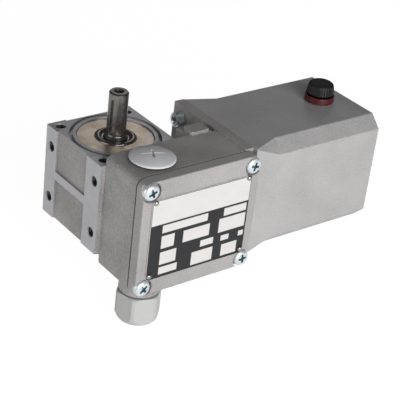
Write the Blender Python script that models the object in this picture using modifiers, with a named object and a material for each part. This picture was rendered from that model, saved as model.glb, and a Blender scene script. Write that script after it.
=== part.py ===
"""Right-angle worm gear motor: a 24 V brush motor on a cast case with output shaft, terminal box and cable gland.

The origin is on the output shaft's axis, at the bottom mounting face of the gear case. +Z runs up the
output shaft, +X along the motor towards its far end, and the terminal cover faces -Y.
"""
import math

import bmesh
import bpy
from mathutils import Matrix, Vector

mm = 0.001

# Clearances
fit = 0.25 * mm               # round pieces in their seats, all round
seat = 0.3 * mm               # faces that rest on each other
reach = 2.0 * mm              # how far a cutter passes through a face

# Gear case
case_side = 45.0 * mm
case_height = 45.0 * mm
pad_back = 9.0 * mm           # width of the machined pad at the back edge of the side face
pad_front = 11.3 * mm         # width of the machined pad at the front edge of the side face
pad_rear_face = 9.8 * mm      # width of the pads on the rear face
panel_depth = 0.9 * mm
rib_height = 4.1 * mm
hole_spacing = 36.0 * mm      # mounting holes, across
side_hole_rise = 26.0 * mm    # mounting holes of the side face, in height
hole_radius = 2.1 * mm
hole_mouth = 2.6 * mm
hole_depth = 6.2 * mm
wheel_chamber = 16.5 * mm
chamber_floor = 10.6 * mm
rim_radius = 19.5 * mm
groove_radius = 21.2 * mm
groove_depth = 1.8 * mm
disc_seat_radius = 17.85 * mm

# Worm drive
module = 1.12 * mm
wheel_teeth = 25
worm_centres = 19.8 * mm      # output shaft axis to worm axis
worm_pitch_radius = worm_centres - module * wheel_teeth / 2
pressure_angle = math.radians(20.0)
flank_play = 0.17 * mm
wheel_width = 10.0 * mm
hub_wall = 3.5 * mm
worm_turns = 5
pedestal_left = 4.0 * mm       # pedestal of the terminal block, on the worm tunnel
pedestal_right = 30.0 * mm
pedestal_front = -33.0 * mm
pedestal_height = 11.0 * mm
terminal_depth = 8.5 * mm
terminal_height = 14.0 * mm
tunnel_bore = 8.25 * mm
tunnel_radius = 12.0 * mm

# Output shaft and what carries it
shaft_radius = 4.5 * mm
shaft_reach = 22.0 * mm       # how far the shaft stands out of the case
collar_radius = 5.5 * mm
journal_radius = 6.0 * mm
wheel_seat_radius = 6.5 * mm
shoulder_step = 1.1 * mm       # how far the shoulder above the wheel stands out
ring_width = 1.4 * mm         # groove of the retaining ring
ring_shoulder = 1.0 * mm      # steel between that groove and the lower bearing
foot_radius = 5.0 * mm
centre_hole = 1.9 * mm
keyway_width = 3.0 * mm
keyway_depth = 1.6 * mm
keyway_gap = 2.8 * mm         # from the keyway's end to the shaft's end
keyway_facing = math.radians(-151.0)
upper_bearing_radius = 12.0 * mm
upper_bearing_height = 6.0 * mm
lower_bearing_radius = 11.0 * mm
lower_bearing_height = 6.0 * mm
disc_recess = 0.7 * mm
disc_thickness = 3.4 * mm
disc_hole = 9.6 * mm
bearing_hub = 14.6 * mm

# Motor flange, housing and inside
flange_face_x = 38.5 * mm
flange_thickness = 5.0 * mm
housing_side = 56.4 * mm
housing_chamfer = 6.0 * mm
housing_end_x = 120.1 * mm
chamfer_run = 15.0 * mm       # length over which the square mouth turns into the chamfered section
corner_break = 0.4 * mm
housing_bore = 24.0 * mm
end_wall = 7.4 * mm
rear_bearing_radius = 8.0 * mm
rear_bearing_width = 5.0 * mm
front_bearing_radius = 9.5 * mm
front_bearing_width = 7.0 * mm
worm_bearing_radius = 8.0 * mm
worm_bearing_width = 5.0 * mm
bearing_bore_small = 3.0 * mm
motor_shaft_radius = 4.0 * mm
core_radius = 16.0 * mm
core_length = 28.0 * mm
core_slots = 12
core_start_x = 60.0 * mm
winding_length = 6.5 * mm
commutator_radius = 8.0 * mm
commutator_length = 11.0 * mm
brush_x = 104.8 * mm
brush_width = 5.0 * mm
brush_length = 9.0 * mm
magnet_gap = 0.7 * mm
magnet_thickness = 4.0 * mm
magnet_angle = math.radians(130.0)
flux_ring_thickness = 2.6 * mm

# Brush holders and caps
holder_flange_radius = 7.25 * mm
holder_flange_height = 3.2 * mm
holder_tube_radius = 5.2 * mm
holder_bore = 3.9 * mm
cap_radius = 6.8 * mm
cap_top_radius = 6.1 * mm
cap_height = 5.7 * mm
cap_ribs = 24
rib_depth = 0.25 * mm

# Terminal box, cover and nameplate
box_left = -19.9 * mm
box_front = -45.6 * mm
box_drop = 7.2 * mm           # how far the box hangs below the case
box_rise = 5.2 * mm           # how far it stands above the case
box_wall = 2.5 * mm
box_corner = 4.0 * mm
gasket_thickness = 0.4 * mm
gasket_gap = 0.2 * mm
cover_front = -51.8 * mm
cover_corner = 4.0 * mm
cover_edge = 1.0 * mm
cover_wall = 2.6 * mm
screw_inset_left = 4.1 * mm
screw_inset_right = 3.9 * mm
screw_inset_top = 5.0 * mm
screw_inset_bottom = 4.0 * mm
screw_boss = 3.6 * mm
screw_boss_depth = 12.0 * mm
pocket_radius = 4.8 * mm
pocket_depth = 2.4 * mm
plate_left = -15.2 * mm
plate_right = 38.7 * mm
plate_rise = 8.0 * mm          # from the box's bottom to the plate
plate_drop = 9.2 * mm          # from the box's top to the plate
plate_corner = 2.0 * mm
plate_thickness = 0.5 * mm
rivet_inset = 1.6 * mm        # rivets, from the plate's left and right edges
rivet_drop = 0.95 * mm        # upper rivets, from the plate's top edge
rivet_rise = 2.2 * mm         # lower rivets, from the plate's lower edge
rivet_head = 1.3 * mm

# Blanking plug and cable gland
plug_x = -4.8 * mm
plug_y = -35.2 * mm
plug_radius = 10.4 * mm
plug_thread = 7.6 * mm
plug_seal_radius = 9.4 * mm
plug_seal_height = 1.2 * mm
plug_thickness = 0.7 * mm      # at the rim
plug_dome = 1.55 * mm
coin_slot_facing = math.radians(-20.8)
gland_x = -7.3 * mm
gland_y = -38.2 * mm
gland_thread = 6.35 * mm
gland_boss_radius = 9.6 * mm
gland_boss_height = 5.2 * mm
gland_gasket = 0.7 * mm
gland_bore = 4.6 * mm
nut_radius = 10.3 * mm
nut_flats = 9.55 * mm
nut_height = 15.0 * mm
nut_dome = 3.6 * mm
nut_corner = math.radians(43.1)

# Screws
m4 = 2.0 * mm
m3 = 1.5 * mm
cap_screw_head = 3.5 * mm
cap_screw_length = 10.0 * mm
flange_screw_offset = 22.0 * mm
pan_head = 4.0 * mm
pan_height = 3.1 * mm
cover_screw_length = 6.5 * mm

# Worked out from the sizes above
case_half = case_side / 2
box_bottom = -box_drop
box_top = case_height + box_rise
motor_z = case_height / 2
plate_bottom = box_bottom + plate_rise
plate_top = box_top - plate_drop
hub_radius = wheel_seat_radius + hub_wall
shoulder_radius = wheel_seat_radius + shoulder_step
motor_y = -worm_centres
pitch_radius = module * wheel_teeth / 2
lead = math.pi * module
mouth_x = flange_face_x + flange_thickness
housing_half = housing_side / 2
housing_top = motor_z + housing_half
bore_end_x = housing_end_x - end_wall
disc_top = case_height - disc_recess
groove_floor = case_height - groove_depth
upper_bearing_top = disc_top - 4.1 * mm
upper_bearing_foot = upper_bearing_top - upper_bearing_height
shoulder_foot = upper_bearing_foot - 2.4 * mm
lower_bearing_foot = 4.0 * mm
lower_bearing_top = lower_bearing_foot + lower_bearing_height
ring_foot = lower_bearing_top + seat + ring_shoulder
hub_foot = ring_foot + ring_width + seat
hub_length = shoulder_foot - seat - hub_foot
shaft_foot = lower_bearing_foot + seat
shaft_end = case_height + shaft_reach
screw_left = box_left + screw_inset_left
screw_right = mouth_x - screw_inset_right
screw_top = box_top - screw_inset_top
screw_bottom = box_bottom + screw_inset_bottom
cover_back = box_front - 2 * gasket_gap - gasket_thickness
cover_right = mouth_x - gasket_gap
core_end_x = core_start_x + core_length
worm_bearing_x = box_left + 2.4 * mm
front_bearing_x = mouth_x - 2.5 * mm - front_bearing_width
commutator_x = brush_x - commutator_length / 2

for thing in list(bpy.data.objects):
    bpy.data.objects.remove(thing, do_unlink=True)

parts = bpy.data.collections.new("worm_gear_motor")
cutters = bpy.data.collections.new("cutters")
for group in (parts, cutters):
    bpy.context.scene.collection.children.link(group)

along_x = (0.0, math.pi / 2, 0.0)
against_x = (0.0, -math.pi / 2, 0.0)
against_y = (math.pi / 2, 0.0, 0.0)
against_z = (math.pi, 0.0, 0.0)


def finish(name, colour, roughness, metallic=0.0):
    """A Principled material."""
    look = bpy.data.materials.new(name)
    look.use_nodes = True
    shader = look.node_tree.nodes["Principled BSDF"]
    shader.inputs["Base Color"].default_value = (*colour, 1.0)
    shader.inputs["Roughness"].default_value = roughness
    shader.inputs["Metallic"].default_value = metallic
    look.diffuse_color = (*colour, 1.0)
    return look


cast_aluminium = finish("cast_aluminium", (0.31, 0.30, 0.30), 0.5, 0.9)
blasted_aluminium = finish("blasted_aluminium", (0.45, 0.44, 0.44), 0.6, 0.9)
turned_bronze = finish("turned_bronze", (0.52, 0.38, 0.28), 0.45, 0.6)
dark_steel = finish("dark_steel", (0.13, 0.12, 0.11), 0.25, 1.0)
bright_steel = finish("bright_steel", (0.6, 0.6, 0.6), 0.25, 1.0)
zinc = finish("zinc", (0.7, 0.74, 0.76), 0.25, 1.0)
black_rubber = finish("black_rubber", (0.02, 0.02, 0.02), 0.5)
copper = finish("copper", (0.7, 0.33, 0.18), 0.35, 1.0)
carbon = finish("carbon", (0.05, 0.05, 0.05), 0.6)
ferrite = finish("ferrite", (0.08, 0.08, 0.08), 0.5)
red_resin = finish("red_resin", (0.2, 0.02, 0.02), 0.4)
black_resin = finish("black_resin", (0.02, 0.02, 0.02), 0.35)
grey_plastic = finish("grey_plastic", (0.45, 0.46, 0.46), 0.45)
pale_plastic = finish("pale_plastic", (0.52, 0.53, 0.52), 0.45)
plate_paint = finish("plate_paint", (0.8, 0.78, 0.77), 0.4)


def add(name, mesh, look=None, group=parts, location=(0, 0, 0), rotation=(0, 0, 0)):
    """Puts a mesh in the scene as a part, or as a cutter if it goes in the other collection."""
    thing = bpy.data.objects.new(name, mesh)
    group.objects.link(thing)
    thing.location = location
    thing.rotation_euler = rotation
    if look:
        mesh.materials.append(look)
    if group == cutters:
        thing.hide_render = True
        thing.display_type = "WIRE"
    return thing


def mesh_of(name, bm):
    """Turns a bmesh into a mesh with its faces pointing out."""
    bmesh.ops.recalc_face_normals(bm, faces=bm.faces)
    mesh = bpy.data.meshes.new(name)
    bm.to_mesh(mesh)
    bm.free()
    return mesh


def round_edges(bm, wanted, radius, segments=4):
    """Bevels the edges that wanted picks by their middle and direction."""
    picked = []
    for edge in bm.edges:
        start, end = (corner.co for corner in edge.verts)
        if wanted((start + end) / 2, (end - start).normalized()):
            picked.append(edge)
    bmesh.ops.bevel(bm, geom=picked, offset=radius, segments=segments, profile=0.5,
                    affect="EDGES", clamp_overlap=True, material=-1)


def block(name, x, y, z, look=None, group=parts, rounding=(), location=(0, 0, 0), rotation=(0, 0, 0)):
    """A box between two limits on each axis, with some edges rounded."""
    low = Vector((x[0], y[0], z[0]))
    high = Vector((x[1], y[1], z[1]))
    bm = bmesh.new()
    bmesh.ops.create_cube(bm, size=1.0)
    for corner in bm.verts:
        corner.co = [high[axis] if corner.co[axis] > 0 else low[axis] for axis in range(3)]
    for wanted, radius, segments in rounding:
        round_edges(bm, wanted, radius, segments)
    return add(name, mesh_of(name, bm), look, group, location, rotation)


def turned(name, profile, look=None, group=parts, location=(0, 0, 0), rotation=(0, 0, 0),
           steps=16, ring=False):
    """A profile of radius and height, down its outer side, turned about the local Z axis."""
    points = [(radius, 0.0, height) for radius, height in profile]
    edges = [(number, number + 1) for number in range(len(points) - 1)]
    if ring:
        edges.append((len(points) - 1, 0))
    mesh = bpy.data.meshes.new(name)
    mesh.from_pydata(points, edges, [])
    thing = add(name, mesh, look, group, location, rotation)
    turn = thing.modifiers.new("Turn", "SCREW")
    turn.angle = math.tau
    turn.steps = steps
    turn.render_steps = steps
    turn.use_merge_vertices = True
    turn.merge_threshold = 0.00001
    turn.use_smooth_shade = True
    return thing


def rod(name, radius, bottom, top, look=None, group=parts, location=(0, 0, 0), rotation=(0, 0, 0), steps=16):
    """A plain cylinder on the local Z axis."""
    return turned(name, [(0, top), (radius, top), (radius, bottom), (0, bottom)], look, group,
                  location, rotation, steps)


def extruded(name, outline, foot, top, look=None, group=parts, location=(0, 0, 0), rotation=(0, 0, 0),
             twist=0.0, shrink=1.0):
    """An outline in the local XY plane, raised from foot to top, with a twist and a taper on the way."""
    bm = bmesh.new()
    face = bm.faces.new([bm.verts.new((x, y, foot)) for x, y in outline])
    grown = bmesh.ops.extrude_face_region(bm, geom=[face])["geom"]
    corners = [item for item in grown if isinstance(item, bmesh.types.BMVert)]
    bmesh.ops.translate(bm, verts=corners, vec=(0, 0, top - foot))
    bmesh.ops.rotate(bm, verts=corners, cent=(0, 0, 0), matrix=Matrix.Rotation(twist, 3, "Z"))
    bmesh.ops.scale(bm, verts=corners, vec=(shrink, shrink, 1.0))
    return add(name, mesh_of(name, bm), look, group, location, rotation)


def swept(name, section, turn, rise, steps, look=None, group=parts, location=(0, 0, 0), rotation=(0, 0, 0),
          start=0.0):
    """A closed section of radius and height, swept through an angle about local Z while it rises."""
    bm = bmesh.new()
    face = bm.faces.new([bm.verts.new((radius, 0.0, height)) for radius, height in section])
    bmesh.ops.rotate(bm, verts=bm.verts, cent=(0, 0, 0), matrix=Matrix.Rotation(start, 3, "Z"))
    bmesh.ops.spin(bm, geom=[face, *face.edges, *face.verts], cent=(0, 0, 0), axis=(0, 0, 1),
                   dvec=(0, 0, rise / steps), angle=turn, steps=steps, use_duplicate=False)
    return add(name, mesh_of(name, bm), look, group, location, rotation)


def shape(thing, operation, *tools):
    """Cuts the tools out of a piece, or joins them to it."""
    for tool in tools:
        step = thing.modifiers.new(operation.title() + "_" + tool.name, "BOOLEAN")
        step.operation = operation
        step.object = tool
        step.solver = "EXACT"


def cut(thing, *tools):
    shape(thing, "DIFFERENCE", *tools)


def join(thing, *tools):
    shape(thing, "UNION", *tools)


def hexagon(across_flats, turn=0.0):
    """The corners of a hexagon."""
    corner = across_flats / math.sqrt(3)
    angles = [turn + side * math.pi / 3 for side in range(6)]
    return [(corner * math.cos(angle), corner * math.sin(angle)) for angle in angles]


def tapped_hole(name, location, rotation=(0, 0, 0), depth=hole_depth):
    """A cutter for a blind screw hole with a countersunk mouth, open along local +Z."""
    tip = depth + hole_radius / 2
    profile = [(0, reach), (hole_mouth, reach), (hole_mouth, 0), (hole_radius, hole_radius - hole_mouth),
               (hole_radius, -depth), (0, -tip)]
    return turned(name, profile, None, cutters, location, rotation, steps=8)


def motor_axis_point(x):
    return (x, motor_y, motor_z)


inner_rise = screw_top - motor_z - screw_boss - cap_screw_head - 0.1 * mm
flange_screw_places = [(motor_y + flange_screw_offset, motor_z + flange_screw_offset),
                       (motor_y + flange_screw_offset, motor_z - flange_screw_offset),
                       (motor_y - flange_screw_offset, motor_z + inner_rise),
                       (motor_y - flange_screw_offset, motor_z - inner_rise)]
cover_screw_places = [(screw_left, screw_top), (screw_right, screw_top),
                      (screw_left, screw_bottom), (screw_right, screw_bottom)]


def upright(middle, direction):
    return abs(direction.z) > 0.9


def along_depth(middle, direction):
    return abs(direction.y) > 0.9


# Gear case casting

def build_gear_case():
    """The casting: gearbox, worm tunnel, motor flange, terminal box and gland boss in one."""
    case = block("gear_case", (-case_half, case_half), (-case_half, case_half), (0, case_height), cast_aluminium)
    front = (box_front, -case_half + 0.1 * mm)
    terminal_box = block("terminal_box_form", (box_left, mouth_x), front, (box_bottom, box_top), None, cutters,
                         [(lambda middle, direction: along_depth(middle, direction) and middle.x < 0,
                           box_corner, 3)])
    flange = block("flange_form", (flange_face_x, mouth_x), (box_front, motor_y + housing_half),
                   (motor_z - housing_half, housing_top), None, cutters)
    neck = block("neck_form", (24.0 * mm, flange_face_x + 1.0 * mm), (-24.4 * mm, -13.0 * mm),
                 (-4.0 * mm, box_top - 0.8 * mm), None, cutters)
    neck_pad = block("neck_pad_form", (24.8 * mm, 34.6 * mm), (-23.5 * mm, -16.5 * mm),
                     (box_top - 2.0 * mm, box_top + 1.6 * mm), None, cutters)
    join(case, terminal_box, flange, neck, neck_pad)

    cavity = block("terminal_cavity", (box_left + box_wall, flange_face_x), (box_front - reach, -24.5 * mm),
                   (box_bottom + box_wall, box_top - box_wall), None, cutters)
    cut(case, cavity)
    tunnel = rod("tunnel_form", tunnel_radius, box_left + 0.5 * mm, mouth_x - 1.0 * mm, None, cutters,
                 motor_axis_point(0), along_x, 20)
    pedestal = block("pedestal_form", (pedestal_left, pedestal_right), (pedestal_front, motor_y),
                     (motor_z - pedestal_height / 2, motor_z + pedestal_height / 2),
                     None, cutters)
    join(case, tunnel, pedestal)
    for number, (x, z) in enumerate(cover_screw_places):
        boss = rod(f"cover_boss_{number}", screw_boss, -screw_boss_depth, 0, None, cutters, (x, box_front, z),
                   against_y, 10)
        join(case, boss)
    gland_boss = rod("gland_boss_form", gland_boss_radius, -gland_boss_height, 1.0 * mm, None, cutters,
                     (gland_x, gland_y, box_bottom), steps=24)
    cover_space = block("cover_space", (box_left, mouth_x), (box_front - 2 * reach, box_front),
                        (box_bottom - 0.6 * mm, box_top), None, cutters)
    cut(gland_boss, cover_space)
    join(case, gland_boss)

    disc_foot = disc_top - disc_thickness - seat
    lower_seat = lower_bearing_radius + fit
    chamber = turned("output_chamber", [(0, case_height + reach), (disc_seat_radius, case_height + reach),
                                        (disc_seat_radius, disc_foot), (wheel_chamber, disc_foot),
                                        (wheel_chamber, chamber_floor), (lower_seat, chamber_floor),
                                        (lower_seat, lower_bearing_foot - seat), (0, lower_bearing_foot - seat)],
                     None, cutters, steps=28)
    groove = turned("groove", [(groove_radius, case_height + reach), (groove_radius, groove_floor),
                               (rim_radius, groove_floor), (rim_radius, case_height + reach)],
                    None, cutters, steps=28, ring=True)
    front_seat = front_bearing_radius + fit
    tunnel_hole = turned("tunnel_hole", [(0, mouth_x + reach), (front_seat, mouth_x + reach),
                                         (front_seat, front_bearing_x - seat), (tunnel_bore, front_bearing_x - seat),
                                         (tunnel_bore, worm_bearing_x - seat), (0, worm_bearing_x - seat)],
                         None, cutters, motor_axis_point(0), along_x)
    cut(case, groove, chamber, tunnel_hole)

    rib_low = (case_height - rib_height) / 2
    rib_high = (case_height + rib_height) / 2
    for face, span in (("side", (-case_half + pad_front, case_half - pad_back)),
                       ("rear", (-case_half + pad_rear_face, case_half - pad_rear_face))):
        for level, heights in (("upper", (rib_high, case_height + reach)), ("lower", (-reach, rib_low))):
            outside = (-case_half - reach, -case_half + panel_depth)
            if face == "side":
                panel = block(f"{face}_{level}_panel", outside, span, heights, None, cutters)
            else:
                outside = (case_half - panel_depth, case_half + reach)
                panel = block(f"{face}_{level}_panel", span, outside, heights, None, cutters)
            cut(case, panel)

    half_spacing = hole_spacing / 2
    half_rise = side_hole_rise / 2
    for across in (-half_spacing, half_spacing):
        for other in (-half_spacing, half_spacing):
            cut(case, tapped_hole(f"top_hole_{across:.3f}_{other:.3f}", (across, other, case_height)),
                tapped_hole(f"foot_hole_{across:.3f}_{other:.3f}", (across, other, 0), against_z))
        for rise in (-half_rise, half_rise):
            cut(case, tapped_hole(f"side_hole_{across:.3f}_{rise:.3f}",
                                  (-case_half, across, case_height / 2 + rise), against_x, 5.0 * mm))

    slot = block("flange_slot", (36.6 * mm, 38.1 * mm), (-23.9 * mm, -14.2 * mm), (case_height + 0.5 * mm, housing_top + reach),
                 None, cutters)
    plug_hole = rod("plug_hole", plug_thread + fit, box_top - 2 * box_wall, box_top + reach, None, cutters,
                    (plug_x, plug_y, 0))
    gland_hole = rod("gland_hole", gland_thread + fit, box_bottom - gland_boss_height - reach,
                     box_bottom + box_wall + 1.0 * mm, None, cutters, (gland_x, gland_y, 0))
    cut(case, slot, plug_hole, gland_hole)
    for number, (y, z) in enumerate(flange_screw_places):
        cut(case, rod(f"flange_screw_hole_{number}", m4 + fit, flange_face_x - 1.0 * mm, mouth_x + reach,
                      None, cutters, (0, y, z), along_x, 8))
    for number, (x, z) in enumerate(cover_screw_places):
        cut(case, rod(f"cover_screw_hole_{number}", m4 + fit, -cover_screw_length, reach, None, cutters,
                      (x, box_front, z), against_y, 8))


# Worm drive and output shaft

def wheel_outline():
    """One turn of involute teeth, from their root, pitch and tip radii, with a gap centred on -Y."""
    root = pitch_radius - 1.25 * module
    tip = pitch_radius + module
    base = pitch_radius * math.cos(pressure_angle)
    half_pitch = (math.pi * module / 4 - flank_play) / pitch_radius

    def half_angle(radius):
        rolled = math.acos(min(1.0, base / max(radius, base)))
        return half_pitch + involute(pressure_angle) - involute(rolled)

    points = []
    for tooth in range(wheel_teeth):
        middle = -math.pi / 2 + (tooth + 0.5) * math.tau / wheel_teeth
        flank = [(root, half_angle(base)), (pitch_radius, half_angle(pitch_radius)), (tip, half_angle(tip))]
        for radius, angle in flank + [(radius, -angle) for radius, angle in reversed(flank)]:
            points.append((radius * math.cos(middle - angle), radius * math.sin(middle - angle)))
    return points


def involute(angle):
    return math.tan(angle) - angle


def build_worm_wheel():
    """The bronze wheel: twisted teeth on a hub, with a bore and keyway."""
    lean = lead / (math.tau * worm_pitch_radius) / pitch_radius
    foot = motor_z - wheel_width / 2
    wheel = extruded("worm_wheel", wheel_outline(), foot, foot + wheel_width, turned_bronze,
                     rotation=(0, 0, -lean * wheel_width / 2), twist=lean * wheel_width)
    hub = rod("hub_form", hub_radius, hub_foot, hub_foot + hub_length, None, cutters)
    bore = rod("wheel_bore", wheel_seat_radius + fit, hub_foot - reach, hub_foot + hub_length + reach, None, cutters)
    slot = block("wheel_key_slot", (0, wheel_seat_radius + 1.6 * mm), (-2.2 * mm, 2.2 * mm),
                 (hub_foot - reach, hub_foot + hub_length + reach), None, cutters)
    join(wheel, hub)
    cut(wheel, bore, slot)


def build_output_shaft():
    """The output shaft with its centre hole, keyway, collar, bearing seats and key slot."""
    ring_groove = ring_foot + ring_width
    profile = [(0, shaft_end - 10.0 * mm), (centre_hole, shaft_end - 9.0 * mm), (centre_hole, shaft_end - 0.5 * mm),
               (centre_hole + 0.5 * mm, shaft_end), (shaft_radius - 0.6 * mm, shaft_end),
               (shaft_radius, shaft_end - 0.6 * mm), (shaft_radius, case_height + 1.4 * mm),
               (collar_radius, case_height + 1.0 * mm), (collar_radius, upper_bearing_top + seat),
               (journal_radius, upper_bearing_top), (journal_radius, upper_bearing_foot - seat),
               (shoulder_radius, upper_bearing_foot - seat), (shoulder_radius, shoulder_foot),
               (wheel_seat_radius, shoulder_foot), (wheel_seat_radius, ring_groove),
               (wheel_seat_radius - 0.8 * mm, ring_groove), (wheel_seat_radius - 0.8 * mm, ring_foot),
               (wheel_seat_radius, ring_foot), (wheel_seat_radius, lower_bearing_top + seat),
               (foot_radius, lower_bearing_top + seat), (foot_radius, shaft_foot), (0, shaft_foot)]
    shaft = turned("output_shaft", profile, dark_steel)
    top = shaft_end - keyway_gap
    bottom = case_height + 1.8 * mm
    keyway = block("keyway", (shaft_radius - keyway_depth, shaft_radius + reach),
                   (-keyway_width / 2, keyway_width / 2), (bottom, top), None, cutters,
                   [(lambda middle, direction: abs(direction.x) > 0.9, keyway_width / 2 * 0.98, 4)],
                   rotation=(0, 0, keyway_facing))
    key_slot = block("shaft_key_slot", (wheel_seat_radius - 2.2 * mm, wheel_seat_radius + reach),
                     (-2.2 * mm, 2.2 * mm), (hub_foot + 3.0 * mm, hub_foot + hub_length - 3.0 * mm), None, cutters)
    cut(shaft, keyway, key_slot)


def bearing(name, outer, inner, width, location, rotation=(0, 0, 0)):
    """A ball bearing as one ring, with its shield sunk between the two races, from local 0 to width."""
    race = (outer - inner) * 0.28
    dip = 0.4 * mm
    profile = [(outer, width), (outer, 0), (inner, 0), (inner, width), (inner + race, width),
               (inner + race, width - dip), (outer - race, width - dip), (outer - race, width)]
    return turned(name, profile, bright_steel, location=location, rotation=rotation, steps=12, ring=True)


def build_output_bearings():
    """Both output bearings, the turned cover disc over the upper one, and the shaft seal in it."""
    bearing("lower_output_bearing", lower_bearing_radius, foot_radius + fit, lower_bearing_height,
            (0, 0, lower_bearing_foot))
    bearing("upper_output_bearing", upper_bearing_radius, journal_radius + fit, upper_bearing_height,
            (0, 0, upper_bearing_foot))
    disc_foot = disc_top - disc_thickness
    bearing_seat = upper_bearing_radius + fit
    shelf = upper_bearing_top + seat
    turned("bearing_cover", [(disc_seat_radius - fit, disc_top), (disc_seat_radius - fit, disc_foot),
                             (bearing_hub, disc_foot), (bearing_hub, upper_bearing_foot), (bearing_seat, upper_bearing_foot),
                             (bearing_seat, shelf), (disc_hole, shelf), (disc_hole, disc_top)],
           turned_bronze, steps=28, ring=True)
    seal_foot = shelf + 0.1 * mm
    turned("shaft_seal", [(7.4 * mm, case_height), (8.1 * mm, case_height - 0.1 * mm), (8.6 * mm, case_height - 0.6 * mm),
                          (8.6 * mm, disc_top - 1.2 * mm), (disc_hole - fit, disc_top - 1.4 * mm),
                          (disc_hole - fit, seal_foot), (collar_radius + fit, seal_foot),
                          (collar_radius + fit, case_height - 0.9 * mm), (6.9 * mm, case_height - 0.8 * mm)],
           black_rubber, ring=True)


def build_wheel_fixings():
    """The key between shaft and wheel, and the retaining ring below the wheel."""
    block("wheel_key", (wheel_seat_radius - 2.2 * mm + fit, wheel_seat_radius + 1.6 * mm - fit),
          (-2.2 * mm + fit, 2.2 * mm - fit), (hub_foot + 3.0 * mm + fit, hub_foot + hub_length - 3.0 * mm - fit),
          bright_steel)
    inner = wheel_seat_radius - 0.8 * mm + fit
    ring_top = ring_foot + ring_width - seat
    ring = turned("retaining_ring", [(wheel_seat_radius + 1.9 * mm, ring_top),
                                     (wheel_seat_radius + 1.9 * mm, ring_top - 0.8 * mm), (inner, ring_top - 0.8 * mm),
                                     (inner, ring_top)], bright_steel, ring=True)
    gap = block("ring_opening", (-1.5 * mm, 1.5 * mm), (0, 12.0 * mm), (ring_top - reach, ring_top + reach),
                None, cutters)
    cut(ring, gap)


# Motor

def build_worm_shaft():
    """The armature shaft with the worm cut on its end."""
    root = worm_pitch_radius - 1.25 * module
    tip = worm_pitch_radius + module
    neck = bearing_bore_small
    worm_half = worm_turns * lead / 2 + 1.0 * mm
    last = housing_end_x - 2.2 * mm
    profile = [(0, last), (neck, last), (neck, bore_end_x - 0.6 * mm), (motor_shaft_radius, bore_end_x - 0.6 * mm),
               (motor_shaft_radius, worm_half + 3.0 * mm), (root, worm_half + 1.0 * mm), (root, -worm_half),
               (neck, -worm_half - 1.0 * mm), (neck, worm_bearing_x + seat), (0, worm_bearing_x + seat)]
    shaft = turned("worm_shaft", profile, bright_steel, location=motor_axis_point(0), rotation=along_x, steps=12)

    half = math.pi * module / 4 - flank_play
    lean = math.tan(pressure_angle)
    sunk = root - 0.5 * mm
    section = [(sunk, -half - lean * (worm_pitch_radius - sunk)), (tip, -half + lean * (tip - worm_pitch_radius)),
               (tip, half - lean * (tip - worm_pitch_radius)), (sunk, half + lean * (worm_pitch_radius - sunk))]
    foot = -lead * worm_turns / 2
    section = [(radius, height + foot) for radius, height in section]
    # Half the turns are below the wheel's axis. The thread passes that height on the side away from the wheel's
    # tooth gap by half a turn, so a gap meets it.
    phase = math.pi / 2 - math.pi * worm_turns
    thread = swept("thread_form", section, math.tau * worm_turns, lead * worm_turns, 12 * worm_turns, None,
                   cutters, motor_axis_point(0), along_x, phase)
    join(shaft, thread)


def slotted_ring(outer, bottom_radius, count, slot_share):
    """The outline of a round body with narrow slots from its rim."""
    points = []
    pitch = math.tau / count
    for tooth in range(count):
        middle = tooth * pitch
        half = pitch * (1 - slot_share) / 2
        for radius, angle in ((bottom_radius, -half), (outer, -half), (outer, 0), (outer, half),
                              (bottom_radius, half)):
            points.append((radius * math.cos(middle + angle), radius * math.sin(middle + angle)))
    return points


def build_armature():
    """The slotted core, its end windings and the commutator, all on the worm shaft."""
    hollow = motor_shaft_radius + fit
    for name, outline, start, length, look in (
            ("armature_core", slotted_ring(core_radius, core_radius * 0.62, core_slots, 0.16), core_start_x,
             core_length, bright_steel),
            ("commutator", slotted_ring(commutator_radius, commutator_radius - 0.8 * mm, core_slots, 0.08),
             commutator_x, commutator_length, copper)):
        body = extruded(name, outline, 0, length, look, location=motor_axis_point(start), rotation=along_x)
        cut(body, rod(name + "_bore", hollow, -reach, length + reach, None, cutters, motor_axis_point(start),
                      along_x, 20))
    for name, start in (("front_end_winding", core_start_x - seat - winding_length),
                        ("rear_end_winding", core_end_x + seat)):
        inner = hollow + 0.6 * mm
        outer = core_radius * 0.92
        turned(name, [(outer - 1.6 * mm, winding_length), (outer, winding_length - 1.6 * mm), (outer, 1.6 * mm),
                      (outer - 1.6 * mm, 0), (inner, 0), (inner, winding_length)], copper,
               location=motor_axis_point(start), rotation=along_x, ring=True)


def build_motor_bearings():
    """Bearings of the worm shaft: at the worm's end, in the flange and in the housing's end wall."""
    bearing("worm_end_bearing", worm_bearing_radius, bearing_bore_small + fit, worm_bearing_width,
            motor_axis_point(worm_bearing_x), along_x)
    bearing("front_motor_bearing", front_bearing_radius, motor_shaft_radius + fit, front_bearing_width,
            motor_axis_point(front_bearing_x), along_x)
    bearing("rear_motor_bearing", rear_bearing_radius, bearing_bore_small + fit, rear_bearing_width,
            motor_axis_point(bore_end_x + seat), along_x)


def arc_magnet(name, middle):
    """A curved magnet: its cross-section spun through part of a turn."""
    inner = core_radius + magnet_gap
    outer = inner + magnet_thickness
    section = [(inner, 0), (outer, 0), (outer, core_length), (inner, core_length)]
    return swept(name, section, magnet_angle, 0, 12, ferrite, parts, motor_axis_point(core_start_x), along_x,
                 middle - magnet_angle / 2)


def build_stator():
    """Two magnets in a steel flux ring that lines the housing."""
    arc_magnet("front_magnet", -math.pi / 2)
    arc_magnet("back_magnet", math.pi / 2)
    outer = housing_bore - fit
    inner = outer - flux_ring_thickness
    overhang = 5.0 * mm
    turned("flux_ring", [(outer, core_length + overhang), (outer, -overhang), (inner, -overhang),
                         (inner, core_length + overhang)], bright_steel, location=motor_axis_point(core_start_x),
           rotation=along_x, steps=24, ring=True)


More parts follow.
